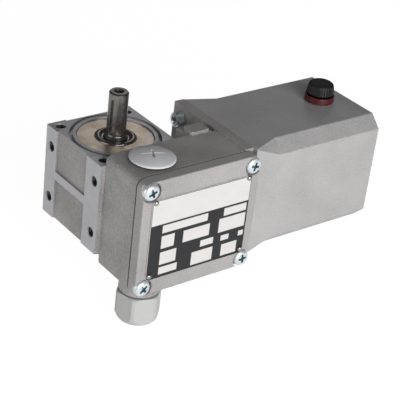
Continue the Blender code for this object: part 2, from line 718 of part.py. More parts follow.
def chamfered_square(half, chamfer):
    """The corners of a square with its corners cut off."""
    inner = half - chamfer
    return [(half, inner), (inner, half), (-inner, half), (-half, inner),
            (-half, -inner), (-inner, -half), (inner, -half), (half, -inner)]


def build_motor_housing():
    """The housing: square at the flange, chamfered beyond, hollow, with two brush holder holes."""
    start = mouth_x + gasket_gap
    sections = [(start, corner_break), (mouth_x + chamfer_run, housing_chamfer),
                (housing_end_x - corner_break, housing_chamfer), (housing_end_x, housing_chamfer)]
    bm = bmesh.new()
    loops = []
    for number, (x, chamfer) in enumerate(sections):
        half = housing_half - (corner_break if number == len(sections) - 1 else 0)
        corners = [bm.verts.new((x, motor_y + across, motor_z + up))
                   for across, up in chamfered_square(half, chamfer)]
        loops.append([bm.edges.new((corners[side], corners[(side + 1) % 8])) for side in range(8)])
    for first, second in zip(loops, loops[1:]):
        bmesh.ops.bridge_loops(bm, edges=first + second)
    for loop in (loops[0], loops[-1]):
        bmesh.ops.contextual_create(bm, geom=loop)
    housing = add("motor_housing", mesh_of("motor_housing", bm), blasted_aluminium)
    bore = rod("housing_bore", housing_bore, start - reach, bore_end_x, None, cutters, motor_axis_point(0),
               along_x, 24)
    seat_hole = rod("rear_bearing_hole", rear_bearing_radius + fit, bore_end_x - reach,
                    bore_end_x + rear_bearing_width + 2 * seat, None, cutters, motor_axis_point(0), along_x, 20)
    holder_hole = rod("holder_hole", holder_tube_radius + fit, motor_z - housing_side, motor_z + housing_side,
                      None, cutters, (brush_x, motor_y, 0))
    cut(housing, bore, seat_hole, holder_hole)
    for number, (y, z) in enumerate(flange_screw_places):
        cut(housing, rod(f"housing_screw_hole_{number}", m4 + fit, start - reach, start + 9.0 * mm, None, cutters,
                         (0, y, z), along_x, 8))


# Brush gear

def build_brush_gear(side, rotation):
    """A brush with its spring in a resin holder under a knurled cap, along local +Z from the motor's axis."""
    place = motor_axis_point(brush_x)
    face = housing_half
    tube_foot = commutator_radius + 1.2 * mm
    flange_foot = face + gasket_gap
    flange_top = flange_foot + holder_flange_height
    turned(f"{side}_brush_holder", [(holder_flange_radius - 0.4 * mm, flange_top),
                                    (holder_flange_radius, flange_top - 0.4 * mm), (holder_flange_radius, flange_foot),
                                    (holder_tube_radius, flange_foot), (holder_tube_radius, tube_foot),
                                    (holder_bore, tube_foot), (holder_bore, flange_top)],
           red_resin, location=place, rotation=rotation, ring=True)

    cap_foot = flange_top + gasket_gap
    outline = []
    for rib in range(cap_ribs * 2):
        angle = rib * math.tau / (cap_ribs * 2)
        radius = cap_radius - (rib % 2) * rib_depth
        outline.append((radius * math.cos(angle), radius * math.sin(angle)))
    local = Matrix.Rotation(rotation[0], 4, "X")
    cap_place = Vector(place) + local @ Vector((0, 0, cap_foot))
    cap = extruded(f"{side}_brush_cap", outline, 0, cap_height, black_resin, location=cap_place, rotation=rotation,
                   shrink=cap_top_radius / cap_radius)
    crown = turned(f"{side}_cap_crown", [(cap_radius * 2, cap_height + reach), (cap_radius * 2, cap_height - 0.8 * mm),
                                         (cap_radius, cap_height - 0.8 * mm), (cap_top_radius - 0.8 * mm, cap_height),
                                         (cap_top_radius - 0.8 * mm, cap_height + reach)], None, cutters,
                   cap_place, rotation, ring=True)
    stem = rod(f"{side}_cap_stem", holder_bore - fit, -3.2 * mm, 1.0 * mm, None, cutters, cap_place, rotation, 16)
    cut(cap, crown)
    join(cap, stem)

    brush_foot = commutator_radius + seat
    brush_top = brush_foot + brush_length
    half = brush_width / 2
    block(f"{side}_brush", (-half, half), (-half, half), (brush_foot, brush_top), carbon, location=place,
          rotation=rotation)

    spring_top = cap_foot - 3.2 * mm - seat
    spring_coil(f"{side}_brush_spring", place, rotation, brush_top + seat, spring_top)


def spring_coil(name, place, rotation, bottom, top):
    """A compression spring of square wire, as wide as the brush."""
    wire = 0.5 * mm
    outer = brush_width / 2
    turns = 4
    section = [(outer - wire, bottom), (outer, bottom), (outer, bottom + wire), (outer - wire, bottom + wire)]
    swept(name, section, math.tau * turns, top - wire - bottom, 8 * turns, bright_steel, parts, place, rotation)


# Screws

def cap_screw(name, location, rotation, length):
    """A socket-head cap screw, its head on local +Z and its seat at local 0."""
    head = cap_screw_head
    profile = [(0, 2 * head / 1.75), (head - 0.4 * mm, 2 * head / 1.75), (head, 2 * head / 1.75 - 0.4 * mm), (head, 0),
               (m4, 0), (m4, -length), (0, -length)]
    screw = turned(name, profile, zinc, location=location, rotation=rotation, steps=14)
    socket = extruded(name + "_socket", hexagon(3.0 * mm), 2.0 * mm, 6.0 * mm, None, cutters, location, rotation)
    cut(screw, socket)


def pan_screw(name, location, length):
    """A pan-head screw with a cross recess, pointing along +Y from a head that faces -Y."""
    head = pan_head
    profile = [(0, pan_height), (head * 0.55, pan_height), (head * 0.9, pan_height * 0.72), (head, pan_height * 0.3),
               (head, 0), (m4, 0), (m4, -length), (0, -length)]
    screw = turned(name, profile, zinc, location=location, rotation=against_y, steps=10)
    for number, turn in enumerate((math.radians(35), math.radians(125))):
        bar = block(f"{name}_recess_{number}", (-2.0 * mm, 2.0 * mm), (-0.45 * mm, 0.45 * mm),
                    (pan_height - 1.3 * mm, pan_height + reach), None, cutters, location=location,
                    rotation=(math.pi / 2, -turn, 0))
        cut(screw, bar)


def build_screws():
    """Flange screws from the gearbox side, and cover screws from the front."""
    for number, (y, z) in enumerate(flange_screw_places, 1):
        cap_screw(f"flange_screw_{number}", (flange_face_x - gasket_gap, y, z), against_x, cap_screw_length)
    for number, (x, z) in enumerate(cover_screw_places, 1):
        pan_screw(f"cover_screw_{number}", (x, cover_front + pocket_depth - gasket_gap, z), cover_screw_length)


# Terminal box

def build_cover():
    """The cover with its screw pockets, hollow behind, and the gasket under it."""
    cover_low = box_bottom - 0.1 * mm

    def front_edge(middle, direction):
        return abs(direction.y) < 0.5 and middle.y < cover_front + 0.1 * mm

    cover = block("terminal_cover", (box_left, cover_right), (cover_front, cover_back), (cover_low, box_top),
                  cast_aluminium, rounding=[(along_depth, cover_corner, 3), (front_edge, cover_edge, 1)])
    hollow = block("cover_hollow", (box_left + cover_wall, cover_right - cover_wall),
                   (cover_front + cover_wall, cover_back + reach), (cover_low + cover_wall, box_top - cover_wall),
                   None, cutters)
    depth = cover_back - cover_front
    for number, (x, z) in enumerate(cover_screw_places):
        place = (x, cover_front, z)
        cut(hollow, rod(f"cover_post_{number}", pocket_radius + 1.2 * mm, -depth - 2 * reach, 0, None, cutters,
                        place, against_y))
    cut(cover, hollow)
    for number, (x, z) in enumerate(cover_screw_places):
        hole = m4 + fit
        pocket = [(0, reach), (pocket_radius, reach), (pocket_radius, -pocket_depth), (hole, -pocket_depth),
                  (hole, -depth - reach), (0, -depth - reach)]
        cut(cover, turned(f"cover_pocket_{number}", pocket, None, cutters, (x, cover_front, z), against_y))

    gasket = block("cover_gasket", (box_left + 0.2 * mm, cover_right - 0.2 * mm),
                   (box_front - gasket_gap - gasket_thickness, box_front - gasket_gap),
                   (box_bottom + 0.2 * mm, box_top - 0.2 * mm), black_rubber,
                   rounding=[(along_depth, cover_corner, 3)])
    opening = block("gasket_opening", (box_left + box_wall, flange_face_x), (box_front - reach, box_front + reach),
                    (box_bottom + box_wall, box_top - box_wall), None, cutters)
    for number, (x, z) in enumerate(cover_screw_places):
        place = (x, box_front, z)
        cut(opening, rod(f"gasket_ear_{number}", screw_boss, -2 * reach, 2 * reach, None, cutters, place, against_y, 8))
        cut(gasket, rod(f"gasket_hole_{number}", m4 + fit, -reach, reach, None, cutters, place, against_y, 8))
    cut(gasket, opening)


def build_nameplate():
    """The plate on the cover, held by four small rivets."""
    back = cover_front - 0.1 * mm
    plate = block("nameplate", (plate_left, plate_right), (back - plate_thickness, back), (plate_bottom, plate_top),
                  plate_paint, rounding=[(along_depth, plate_corner, 3)])
    places = [(x, z) for z in (plate_top - rivet_drop, plate_bottom + rivet_rise)
              for x in (plate_left + rivet_inset, plate_right - rivet_inset)]
    shank = 0.5 * mm
    for number, (x, z) in enumerate(places, 1):
        place = (x, back, z)
        cut(plate, rod(f"plate_hole_{number}", shank + fit, -reach, reach, None, cutters, place, against_y, 6))
        top = plate_thickness + 0.1 * mm
        turned(f"nameplate_rivet_{number}", [(0, top + 0.9 * mm), (rivet_head * 0.6, top + 0.75 * mm),
                                             (rivet_head, top + 0.2 * mm), (rivet_head, top), (shank, top),
                                             (shank, -1.6 * mm), (0, -1.6 * mm)], zinc, location=place,
               rotation=against_y, steps=6)
        cut(bpy.data.objects["terminal_cover"],
            rod(f"rivet_hole_{number}", shank + fit, -2.0 * mm, reach, None, cutters, (x, cover_front, z),
                against_y, 6))


def build_plug():
    """The blanking plug of the spare cable entry, with its coin slot and sealing ring."""
    foot = box_top + gasket_gap
    flange_foot = foot + plug_seal_height
    rim = flange_foot + plug_thickness
    top = rim + plug_dome
    place = (plug_x, plug_y, 0)
    dome = [(plug_radius * share, rim + plug_dome * (1 - share ** 2)) for share in (0, 0.4, 0.7, 0.9, 1)]
    plug = turned("blanking_plug", dome + [(plug_radius, flange_foot), (plug_thread, flange_foot),
                                    (plug_thread, box_top - box_wall - 1.0 * mm), (0, box_top - box_wall - 1.0 * mm)],
                  grey_plastic, location=place, steps=28)
    for name, length, turn in (("coin_slot", 12.4 * mm, coin_slot_facing),
                               ("cross_slot", 6.2 * mm, coin_slot_facing + math.radians(85.0))):
        slot = block(name, (-length / 2, length / 2), (-0.45 * mm, 0.45 * mm), (top - 0.9 * mm, top + reach), None,
                     cutters, location=place, rotation=(0, 0, turn))
        cut(plug, slot)
    inner = plug_thread + fit
    turned("plug_seal", [(plug_seal_radius, foot + plug_seal_height - gasket_gap), (plug_seal_radius, foot),
                         (inner, foot), (inner, foot + plug_seal_height - gasket_gap)], black_rubber,
           location=place, ring=True)


def nut_outline():
    """A hexagon whose corners are rounded off to a circle."""
    half_flat = math.acos(nut_flats / nut_radius)
    points = []
    for side in range(6):
        corner = nut_corner + side * math.pi / 3
        for turn in (-1, -0.33, 0.33, 1):
            angle = corner + turn * (math.pi / 6 - half_flat)
            points.append((nut_radius * math.cos(angle), nut_radius * math.sin(angle)))
    return points


def build_gland():
    """The cable gland: a body screwed into the boss, its gasket, the sealing sleeve and the dome nut."""
    place = (gland_x, gland_y, 0)
    boss_foot = box_bottom - gland_boss_height
    gasket_top = boss_foot - gasket_gap
    gasket_foot = gasket_top - gland_gasket
    body_top = box_bottom + 1.6 * mm
    collar_top = gasket_foot - gasket_gap
    collar_radius_gland = 8.0 * mm
    body_foot = collar_top - 8.5 * mm
    sleeve_seat = 6.4 * mm
    turned("gland_body", [(gland_thread, body_top), (gland_thread, collar_top), (collar_radius_gland, collar_top),
                          (collar_radius_gland, body_foot), (sleeve_seat, body_foot), (sleeve_seat, body_foot + 7.0 * mm),
                          (gland_bore, body_foot + 7.0 * mm), (gland_bore, body_top)], pale_plastic,
           location=place, ring=True)
    turned("gland_gasket", [(9.2 * mm, gasket_top), (9.2 * mm, gasket_foot), (gland_thread + fit, gasket_foot),
                            (gland_thread + fit, gasket_top)], black_rubber, location=place, ring=True)
    sleeve_top = body_foot + 7.0 * mm - seat
    turned("gland_sleeve", [(sleeve_seat - fit, sleeve_top), (sleeve_seat - fit, body_foot - 1.2 * mm),
                            (gland_bore, body_foot - 1.2 * mm), (gland_bore, sleeve_top)], black_rubber,
           location=place, ring=True)
    nut_top = collar_top
    nut = extruded("gland_nut", nut_outline(), -nut_height, 0, pale_plastic, location=(gland_x, gland_y, nut_top))
    crown = turned("nut_dome", [(nut_radius * 2, -nut_height + nut_dome), (nut_radius * 2, -nut_height - reach),
                                (nut_radius - 2.6 * mm, -nut_height - reach), (nut_radius - 2.6 * mm, -nut_height),
                                (nut_radius - 1.1 * mm, -nut_height + 1.0 * mm), (nut_radius + 0.1 * mm, -nut_height + nut_dome)],
                   None, cutters, (gland_x, gland_y, nut_top), steps=24, ring=True)
    inside = collar_radius_gland + fit
    lip = body_foot - 1.2 * mm - seat
    bore = turned("nut_bore", [(0, nut_top + reach), (inside, nut_top + reach), (inside, lip), (gland_bore + 0.4 * mm, lip),
                               (gland_bore + 0.4 * mm, nut_top - nut_height - reach), (0, nut_top - nut_height - reach)],
                  None, cutters, place)
    cut(nut, crown, bore)


def build_terminals():
    """The terminal block on its pedestal, with two clamp screws."""
    back = pedestal_front - seat
    front = back - terminal_depth
    block("terminal_block", (pedestal_left + 1.0 * mm, pedestal_right - 1.0 * mm), (front, back),
          (motor_z - terminal_height / 2, motor_z + terminal_height / 2), black_resin,
          rounding=[(along_depth, 1.2 * mm, 1)])
    terminal = bpy.data.objects["terminal_block"]
    for number, x in enumerate((pedestal_left + 7.0 * mm, pedestal_right - 7.0 * mm), 1):
        well = rod(f"terminal_well_{number}", 3.4 * mm, -4.0 * mm, reach, None, cutters, (x, front, motor_z),
                   against_y, 8)
        entry = block(f"wire_entry_{number}", (x - 1.6 * mm, x + 1.6 * mm), (front + 3.0 * mm, front + 6.2 * mm),
                      (motor_z - 12.0 * mm, motor_z + 12.0 * mm), None, cutters)
        cut(terminal, well, entry)
        screw = turned(f"terminal_screw_{number}", [(0, 0), (2.8 * mm, 0), (2.8 * mm, -2.0 * mm), (1.3 * mm, -2.0 * mm),
                                                    (1.3 * mm, -3.7 * mm), (0, -3.7 * mm)], zinc,
                       location=(x, front, motor_z), rotation=against_y, steps=8)
        slot = block(f"terminal_slot_{number}", (x - 4.0 * mm, x + 4.0 * mm), (front - reach, front + 0.7 * mm),
                     (motor_z - 0.4 * mm, motor_z + 0.4 * mm), None, cutters)
        cut(screw, slot)


build_gear_case()
build_worm_wheel()
build_output_shaft()
build_output_bearings()
build_wheel_fixings()
build_worm_shaft()
build_armature()
build_motor_bearings()
build_stator()
build_motor_housing()
build_brush_gear("upper", (0, 0, 0))
build_brush_gear("lower", against_z)
build_screws()
build_cover()
build_nameplate()
build_plug()
build_gland()
build_terminals()
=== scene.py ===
"""Looks of a right-angle worm gear motor, laid out as an add-on and run as a script."""
import math

import bmesh
import bpy
from mathutils import Matrix, Vector


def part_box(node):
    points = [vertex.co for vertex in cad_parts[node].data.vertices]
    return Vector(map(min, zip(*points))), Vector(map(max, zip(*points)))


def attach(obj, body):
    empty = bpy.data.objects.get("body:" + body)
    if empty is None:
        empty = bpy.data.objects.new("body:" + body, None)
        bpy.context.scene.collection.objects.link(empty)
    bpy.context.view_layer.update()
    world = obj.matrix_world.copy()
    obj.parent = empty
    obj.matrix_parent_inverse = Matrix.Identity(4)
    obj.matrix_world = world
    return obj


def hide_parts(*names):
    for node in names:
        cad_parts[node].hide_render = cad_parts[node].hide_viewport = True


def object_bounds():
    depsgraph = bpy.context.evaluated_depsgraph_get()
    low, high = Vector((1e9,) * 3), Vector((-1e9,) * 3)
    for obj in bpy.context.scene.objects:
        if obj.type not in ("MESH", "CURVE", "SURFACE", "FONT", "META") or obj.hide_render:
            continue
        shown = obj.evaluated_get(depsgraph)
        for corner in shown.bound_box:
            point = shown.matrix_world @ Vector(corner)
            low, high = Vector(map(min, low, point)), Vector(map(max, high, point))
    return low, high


bl_info = {
    "name": "Worm Gear Motor Looks",
    "version": (1, 0, 0),
    "blender": (4, 5, 0),
    "location": "3D View > Sidebar > Gear Motor",
    "description": "Dresses a right-angle worm gear motor with castings, housing, gland and nameplate",
    "category": "Object",
}

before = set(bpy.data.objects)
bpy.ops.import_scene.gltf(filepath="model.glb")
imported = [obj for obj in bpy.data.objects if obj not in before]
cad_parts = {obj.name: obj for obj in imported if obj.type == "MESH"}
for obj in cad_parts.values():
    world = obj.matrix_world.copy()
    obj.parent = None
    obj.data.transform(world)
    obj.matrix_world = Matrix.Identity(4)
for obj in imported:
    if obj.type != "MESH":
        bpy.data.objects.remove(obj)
cad_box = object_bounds()

mm = 0.001
beyond = 2.0 * mm             # how far a cutter passes through a face
fit = 0.3 * mm                # slack at the ends of the bearings and the sleeve

along_x = Matrix.Rotation(math.pi / 2, 4, "Y")
against_x = Matrix.Rotation(-math.pi / 2, 4, "Y")
against_y = Matrix.Rotation(math.pi / 2, 4, "X")
against_z = Matrix.Rotation(math.pi, 4, "X")


def place(x, y, z, turn=Matrix.Identity(4)):
    """A matrix that turns and then moves."""
    return Matrix.Translation((x, y, z)) @ turn


def middle(node):
    """The middle of a CAD node's box."""
    low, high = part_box(node)
    return (low + high) / 2


def facing_front(node, y):
    """A matrix that turns Z to the front, at a node's middle and the given Y."""
    centre = middle(node)
    return place(centre.x, y, centre.z, against_y)


def beside_motor(node):
    """A matrix that turns Z along the motor, at a node's middle."""
    centre = middle(node)
    return place(0, centre.y, centre.z, along_x)


# Places taken from the frame
case_low, case_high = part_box("gear_case")
half = case_high.y
mouth_x = case_high.x
disc_low, disc_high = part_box("bearing_cover")
cover_low, cover_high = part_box("terminal_cover")
gasket_low, gasket_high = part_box("cover_gasket")
box_front = gasket_high.y + 0.2 * mm
box_left = cover_low.x
box_bottom = cover_low.z + 0.1 * mm
box_top = cover_high.z
housing_low, housing_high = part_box("motor_housing")
motor_y = (housing_low.y + housing_high.y) / 2
motor_z = (housing_low.z + housing_high.z) / 2
housing_half = (housing_high.z - housing_low.z) / 2
shaft_low, shaft_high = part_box("output_shaft")
plate_low, plate_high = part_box("nameplate")
plug_low, plug_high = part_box("blanking_plug")
plug_x = (plug_low.x + plug_high.x) / 2
plug_y = (plug_low.y + plug_high.y) / 2
nut_low, nut_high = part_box("gland_nut")
gland_low, gland_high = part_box("gland_body")
brush_x = sum(corner.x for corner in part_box("upper_brush")) / 2
motor_axis = place(0, motor_y, motor_z, along_x)
plug_axis = place(plug_x, plug_y, 0)
gland_axis = place((gland_low.x + gland_high.x) / 2, (gland_low.y + gland_high.y) / 2, 0)
flange_screws = [f"flange_screw_{number}" for number in range(1, 5)]
cover_screws = [f"cover_screw_{number}" for number in range(1, 5)]
rivets = [f"nameplate_rivet_{number}" for number in range(1, 5)]

# Sizes that two or more pieces share
case_top = 45.0 * mm
mount_offset = 18.0 * mm      # mounting holes, from the case's middle
mount_rise = 13.0 * mm        # the side's mounting holes, above and below its middle
disc_seat, rim_inside, rim_outside = 17.85 * mm, 19.5 * mm, 21.2 * mm
bearing_seat = 8.25 * mm
box_corner, box_wall, flange_width = 4.0 * mm, 2.5 * mm, 5.0 * mm
screw_radius, screw_way, post_radius = 2.0 * mm, 2.25 * mm, 3.6 * mm
rivet_hole = 0.75 * mm
plug_thread, gland_thread, thread_slack = 7.6 * mm, 6.35 * mm, 0.25 * mm


def length_setting(name, description, default):
    return bpy.props.FloatProperty(name=name, description=description, default=default, unit="LENGTH")


def count_setting(name, description, default):
    return bpy.props.IntProperty(name=name, description=description, default=default)


def colour_setting(name, description, default):
    return bpy.props.FloatVectorProperty(name=name, description=description, default=default, subtype="COLOR")


class MotorSizes(bpy.types.PropertyGroup):
    """Sizes of the visible detail."""

    cast_edge: length_setting("Cast Edge", "Radius of the casting's outer edges", 0.35 * mm)
    machined_edge: length_setting(
        "Machined Edge", "Width of the small breaks on turned and milled edges", 0.15 * mm)
    housing_edge: length_setting("Housing Edge", "Radius along the motor housing's edges", 0.5 * mm)
    housing_chamfer: length_setting("Housing Chamfer", "Chamfer along the motor housing", 6.0 * mm)
    panel_depth: length_setting("Panel Depth", "Depth of the panels between the machined pads", 0.9 * mm)
    cap_ribs: count_setting("Cap Ribs", "Ribs around each brush cap", 32)
    round_steps: count_setting("Round Steps", "Faces around a turned piece", 96)


class MotorColours(bpy.types.PropertyGroup):
    """Colours of the visible pieces."""

    casting: colour_setting("Casting", "Blasted cast aluminium of the gear case", (0.40, 0.385, 0.38))
    housing: colour_setting("Housing", "Fine blasted aluminium of the motor housing", (0.475, 0.467, 0.465))
    machined: colour_setting("Machined", "Milled pads and faces of the gear case", (0.55, 0.55, 0.575))
    disc: colour_setting("Disc", "Turned bearing cover around the shaft", (0.97, 0.80, 0.67))
    shaft: colour_setting("Shaft", "Ground steel of the output shaft", (0.221, 0.20825, 0.19975))
    screw: colour_setting("Screw", "Bright zinc of the screws", (0.74, 0.80, 0.83))
    gland: colour_setting("Gland", "Pale moulded plastic of the cable gland", (0.51, 0.512, 0.505))
    plug: colour_setting("Plug", "Moulded plastic of the blanking plug", (0.76, 0.76, 0.78))
    cap: colour_setting("Brush Cap", "Black moulded brush caps", (0.006, 0.006, 0.006))
    holder: colour_setting("Brush Holder", "Red-brown resin of the brush holders", (0.075, 0.011, 0.011))
    plate: colour_setting("Plate", "White ground of the nameplate", (0.70, 0.675, 0.665))
    print_black: colour_setting("Print", "Black print of the nameplate", (0.008, 0.008, 0.010))


def sizes():
    return bpy.context.scene.motor_sizes


def colours():
    return bpy.context.scene.motor_colours


# Shapes

def above(level, *points):
    """Points of a profile, as radii and as heights above a level, both in millimetres."""
    return [(radius * mm, level + height * mm) for radius, height in points]


def on_circle(radius, angle):
    return radius * math.cos(angle), radius * math.sin(angle)


def every(centre):
    """The test that picks all edges of a block."""
    return True


def rounded(points, radius, segments=3):
    """A closed outline with its corners rounded by short arcs."""
    result = []
    count = len(points)
    for number, point in enumerate(points):
        here = Vector(point)
        before = Vector(points[number - 1]) - here
        after = Vector(points[(number + 1) % count]) - here
        reach = min(radius, before.length * 0.45, after.length * 0.45)
        start = here + before.normalized() * reach
        end = here + after.normalized() * reach
        for step in range(segments + 1):
            share = step / segments
            result.append(start.lerp(here, share).lerp(here.lerp(end, share), share))
    return result


def mesh_from(name, bm):
    bmesh.ops.remove_doubles(bm, verts=bm.verts, dist=0.000001)
    bmesh.ops.recalc_face_normals(bm, faces=bm.faces)
    mesh = bpy.data.meshes.new(name)
    bm.to_mesh(mesh)
    bm.free()
    return mesh


def form(name, bm):
    """An object from a bmesh, still without body or finish."""
    thing = bpy.data.objects.new(name, mesh_from(name, bm))
    bpy.context.scene.collection.objects.link(thing)
    return thing


def block(name, x, y, z, at=None, rounding=()):
    """A box between two limits on each axis.

    Rounding lists the axis of the edges to round, a test of their middle, and a radius.
    """
    low = (x[0], y[0], z[0])
    high = (x[1], y[1], z[1])
    bm = bmesh.new()
    bmesh.ops.create_cube(bm, size=1.0)
    for corner in bm.verts:
        corner.co = [high[axis] if corner.co[axis] > 0 else low[axis] for axis in range(3)]
    for axis, wanted, radius in rounding:
        picked = []
        for edge in bm.edges:
            start, end = (corner.co for corner in edge.verts)
            if abs((end - start).normalized()[axis]) > 0.9 and wanted((start + end) / 2):
                picked.append(edge)
        bmesh.ops.bevel(bm, geom=picked, offset=radius, segments=8, profile=0.5, affect="EDGES", material=-1)
    if at:
        bmesh.ops.transform(bm, matrix=at, verts=bm.verts)
    return form(name, bm)


def sheet(name, low, high, radius):
    """A box between two corners, with its edges along Y rounded."""
    return block(name, *zip(low, high), rounding=[(1, every, radius)])


def turned(name, profile, at=None, steps=None, ring=False):
    """A profile of radius and height turned about Z. A ring's profile is closed on itself."""
    bm = bmesh.new()
    corners = [bm.verts.new((point[0], 0.0, point[1])) for point in profile]
    pairs = list(zip(corners, corners[1:]))
    if ring:
        pairs.append((corners[-1], corners[0]))
    edges = [bm.edges.new(pair) for pair in pairs]
    bmesh.ops.spin(bm, geom=corners + edges, cent=(0, 0, 0), axis=(0, 0, 1), dvec=(0, 0, 0), angle=math.tau,
                   steps=steps or sizes().round_steps, use_merge=True)
    if at:
        bmesh.ops.transform(bm, matrix=at, verts=bm.verts)
    return form(name, bm)


def rod(name, radius, foot, top, at=None, steps=None):
    return turned(name, [(0, top), (radius, top), (radius, foot), (0, foot)], at, steps)


def prism(name, outline, foot, top, at=None, shrink=1.0):
    """An outline raised from foot to top, with a taper."""
    bm = bmesh.new()
    face = bm.faces.new([bm.verts.new((point[0], point[1], foot)) for point in outline])
    grown = bmesh.ops.extrude_face_region(bm, geom=[face])["geom"]
    corners = [item for item in grown if isinstance(item, bmesh.types.BMVert)]
    bmesh.ops.translate(bm, verts=corners, vec=(0, 0, top - foot))
    bmesh.ops.scale(bm, verts=corners, vec=(shrink, shrink, 1.0))
    if at:
        bmesh.ops.transform(bm, matrix=at, verts=bm.verts)
    return form(name, bm)


def worked(thing, *steps):
    """Applies Booleans, each an operation and a tool, and removes the tools."""
    for operation, tool in steps:
        change = thing.modifiers.new(tool.name, "BOOLEAN")
        change.operation = operation
        change.object = tool
        change.solver = "EXACT"
    graph = bpy.context.evaluated_depsgraph_get()
    mesh = bpy.data.meshes.new_from_object(thing.evaluated_get(graph))
    thing.modifiers.clear()
    thing.data = mesh
    for tool in {tool for operation, tool in steps}:
        bpy.data.objects.remove(tool)
    return thing


def cut(thing, *tools):
    return worked(thing, *[("DIFFERENCE", tool) for tool in tools])


def join(thing, *tools):
    return worked(thing, *[("UNION", tool) for tool in tools])


def trim(thing, *tools):
    return worked(thing, *[("INTERSECT", tool) for tool in tools])


def hexagon(across_flats, turn=0.0):
    corner = across_flats / math.sqrt(3)
    return [on_circle(corner, turn + side * math.pi / 3) for side in range(6)]


def piece(thing, body, look, nodes=(), soften=0.0, segments=2, sharp=math.radians(32)):
    """Finishes a piece: soft edges, shading, material, and the CAD body that it rides on."""
    thing.data.materials.clear()
    thing.data.materials.append(look)
    for face in thing.data.polygons:
        face.use_smooth = True
    thing.data.set_sharp_from_angle(angle=sharp)
    if soften:
        edge = thing.modifiers.new("Soft Edges", "BEVEL")
        edge.width = soften
        edge.segments = segments
        edge.limit_method = "ANGLE"
        edge.angle_limit = math.radians(35)
        edge.use_clamp_overlap = True
        edge.harden_normals = True
    even = thing.modifiers.new("Even Shading", "WEIGHTED_NORMAL")
    even.keep_sharp = True
    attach(thing, body)
    if nodes:
        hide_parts(*nodes)
    return thing


# Finishes

def new_node(tree, kind, inputs=(), **settings):
    """A node with its settings made, and with a value or a link for each input that is given."""
    node = tree.nodes.new("ShaderNode" + kind)
    for name, value in settings.items():
        setattr(node, name, value)
    for name, value in dict(inputs).items():
        if isinstance(value, bpy.types.NodeSocket):
            tree.links.new(value, node.inputs[name])
        else:
            node.inputs[name].default_value = value
    return node


def start_finish(name, colour, roughness, metallic):
    """A new material and its node tree, with colour, roughness and metal set."""
    look = bpy.data.materials.new(name)
    look.use_nodes = True
    look.diffuse_color = (*colour, 1.0)
    shader = look.node_tree.nodes["Principled BSDF"]
    shader.inputs["Base Color"].default_value = (*colour, 1.0)
    shader.inputs["Roughness"].default_value = roughness
    shader.inputs["Metallic"].default_value = metallic
    return look, look.node_tree, shader


def link_finish(tree, shader, colour, sheen, normal):
    for name, socket in (("Base Color", colour), ("Roughness", sheen), ("Normal", normal)):
        tree.links.new(socket, shader.inputs[name])


def texture(tree, kind, inputs, **settings):
    """A texture over the object's own coordinates."""
    coordinates = new_node(tree, "TexCoord").outputs["Object"]
    return new_node(tree, kind, {"Vector": coordinates, **inputs}, **settings).outputs["Fac"]


def noise(tree, scale, detail=4.0, roughness=0.55):
    return texture(tree, "TexNoise", {"Scale": scale, "Detail": detail, "Roughness": roughness})


def between(tree, factor, low, high, start=0.0, end=1.0):
    """Maps a factor from one range to another."""
    return new_node(tree, "MapRange", {"Value": factor, "From Min": start, "From Max": end,
                                       "To Min": low, "To Max": high}).outputs["Result"]


def centred(tree, factor, low=0.0, high=1.0):
    """Maps the usual range of a noise to another range."""
    return between(tree, factor, low, high, 0.3, 0.7)


def shade(colour, factor):
    return tuple(min(1.0, channel * factor) for channel in colour)


def tint(tree, factor, colour, dark, light):
    """Mixes a darker and a lighter shade of a colour by a factor."""
    return new_node(tree, "Mix", {"Factor": factor, "A": (*shade(colour, dark), 1.0),
                                  "B": (*shade(colour, light), 1.0)}, data_type="RGBA").outputs["Result"]


def bump(tree, height, strength, distance, before=None):
    inputs = {"Strength": strength, "Distance": distance, "Height": height}
    if before:
        inputs["Normal"] = before
    return new_node(tree, "Bump", inputs).outputs["Normal"]


def waves(tree, pitch, distortion, detail_scale, **settings):
    """Rings or bands at a pitch, for tool marks."""
    return texture(tree, "TexWave", {"Scale": 0.314 / pitch, "Distortion": distortion, "Detail": 3.0,
                                     "Detail Scale": detail_scale}, **settings)


def blasted_metal(name, colour, grain=0.75 * mm, depth=0.05 * mm, roughness=0.5, metallic=0.35, contrast=0.42):
    """Cast or blasted aluminium: fine pits, broad clouding and a slightly uneven sheen."""
    look, tree, shader = start_finish(name, colour, roughness, metallic)
    fine = noise(tree, 1 / grain, 3.0, 0.65)
    clouds = centred(tree, noise(tree, 1 / (22 * mm), 3.0, 0.5))
    grains = between(tree, fine, 0.0, 1.0, 0.32, 0.68)
    mixed = new_node(tree, "Mix", {"Factor": 0.62, "A": clouds, "B": grains}).outputs["Result"]
    coarse = bump(tree, noise(tree, 1 / (grain * 5), 2.0, 0.5), 0.4, depth * 2)
    link_finish(tree, shader, tint(tree, mixed, colour, 1 - contrast, 1 + contrast),
                centred(tree, fine, roughness - 0.1, roughness + 0.12), bump(tree, fine, 0.9, depth, coarse))
    return look


def turned_metal(name, colour, pitch, roughness, metallic=0.9, depth=0.008 * mm, contrast=0.1):
    """Machined metal with fine rings about the Z axis."""
    look, tree, shader = start_finish(name, colour, roughness, metallic)
    rings = waves(tree, pitch, 1.5, 0.4, wave_type="RINGS", rings_direction="Z")
    uneven = noise(tree, 1 / (6 * mm), 3.0)
    link_finish(tree, shader, tint(tree, rings, colour, 1 - contrast, 1 + contrast),
                centred(tree, uneven, roughness - 0.06, roughness + 0.1), bump(tree, rings, 0.6, depth))
    return look


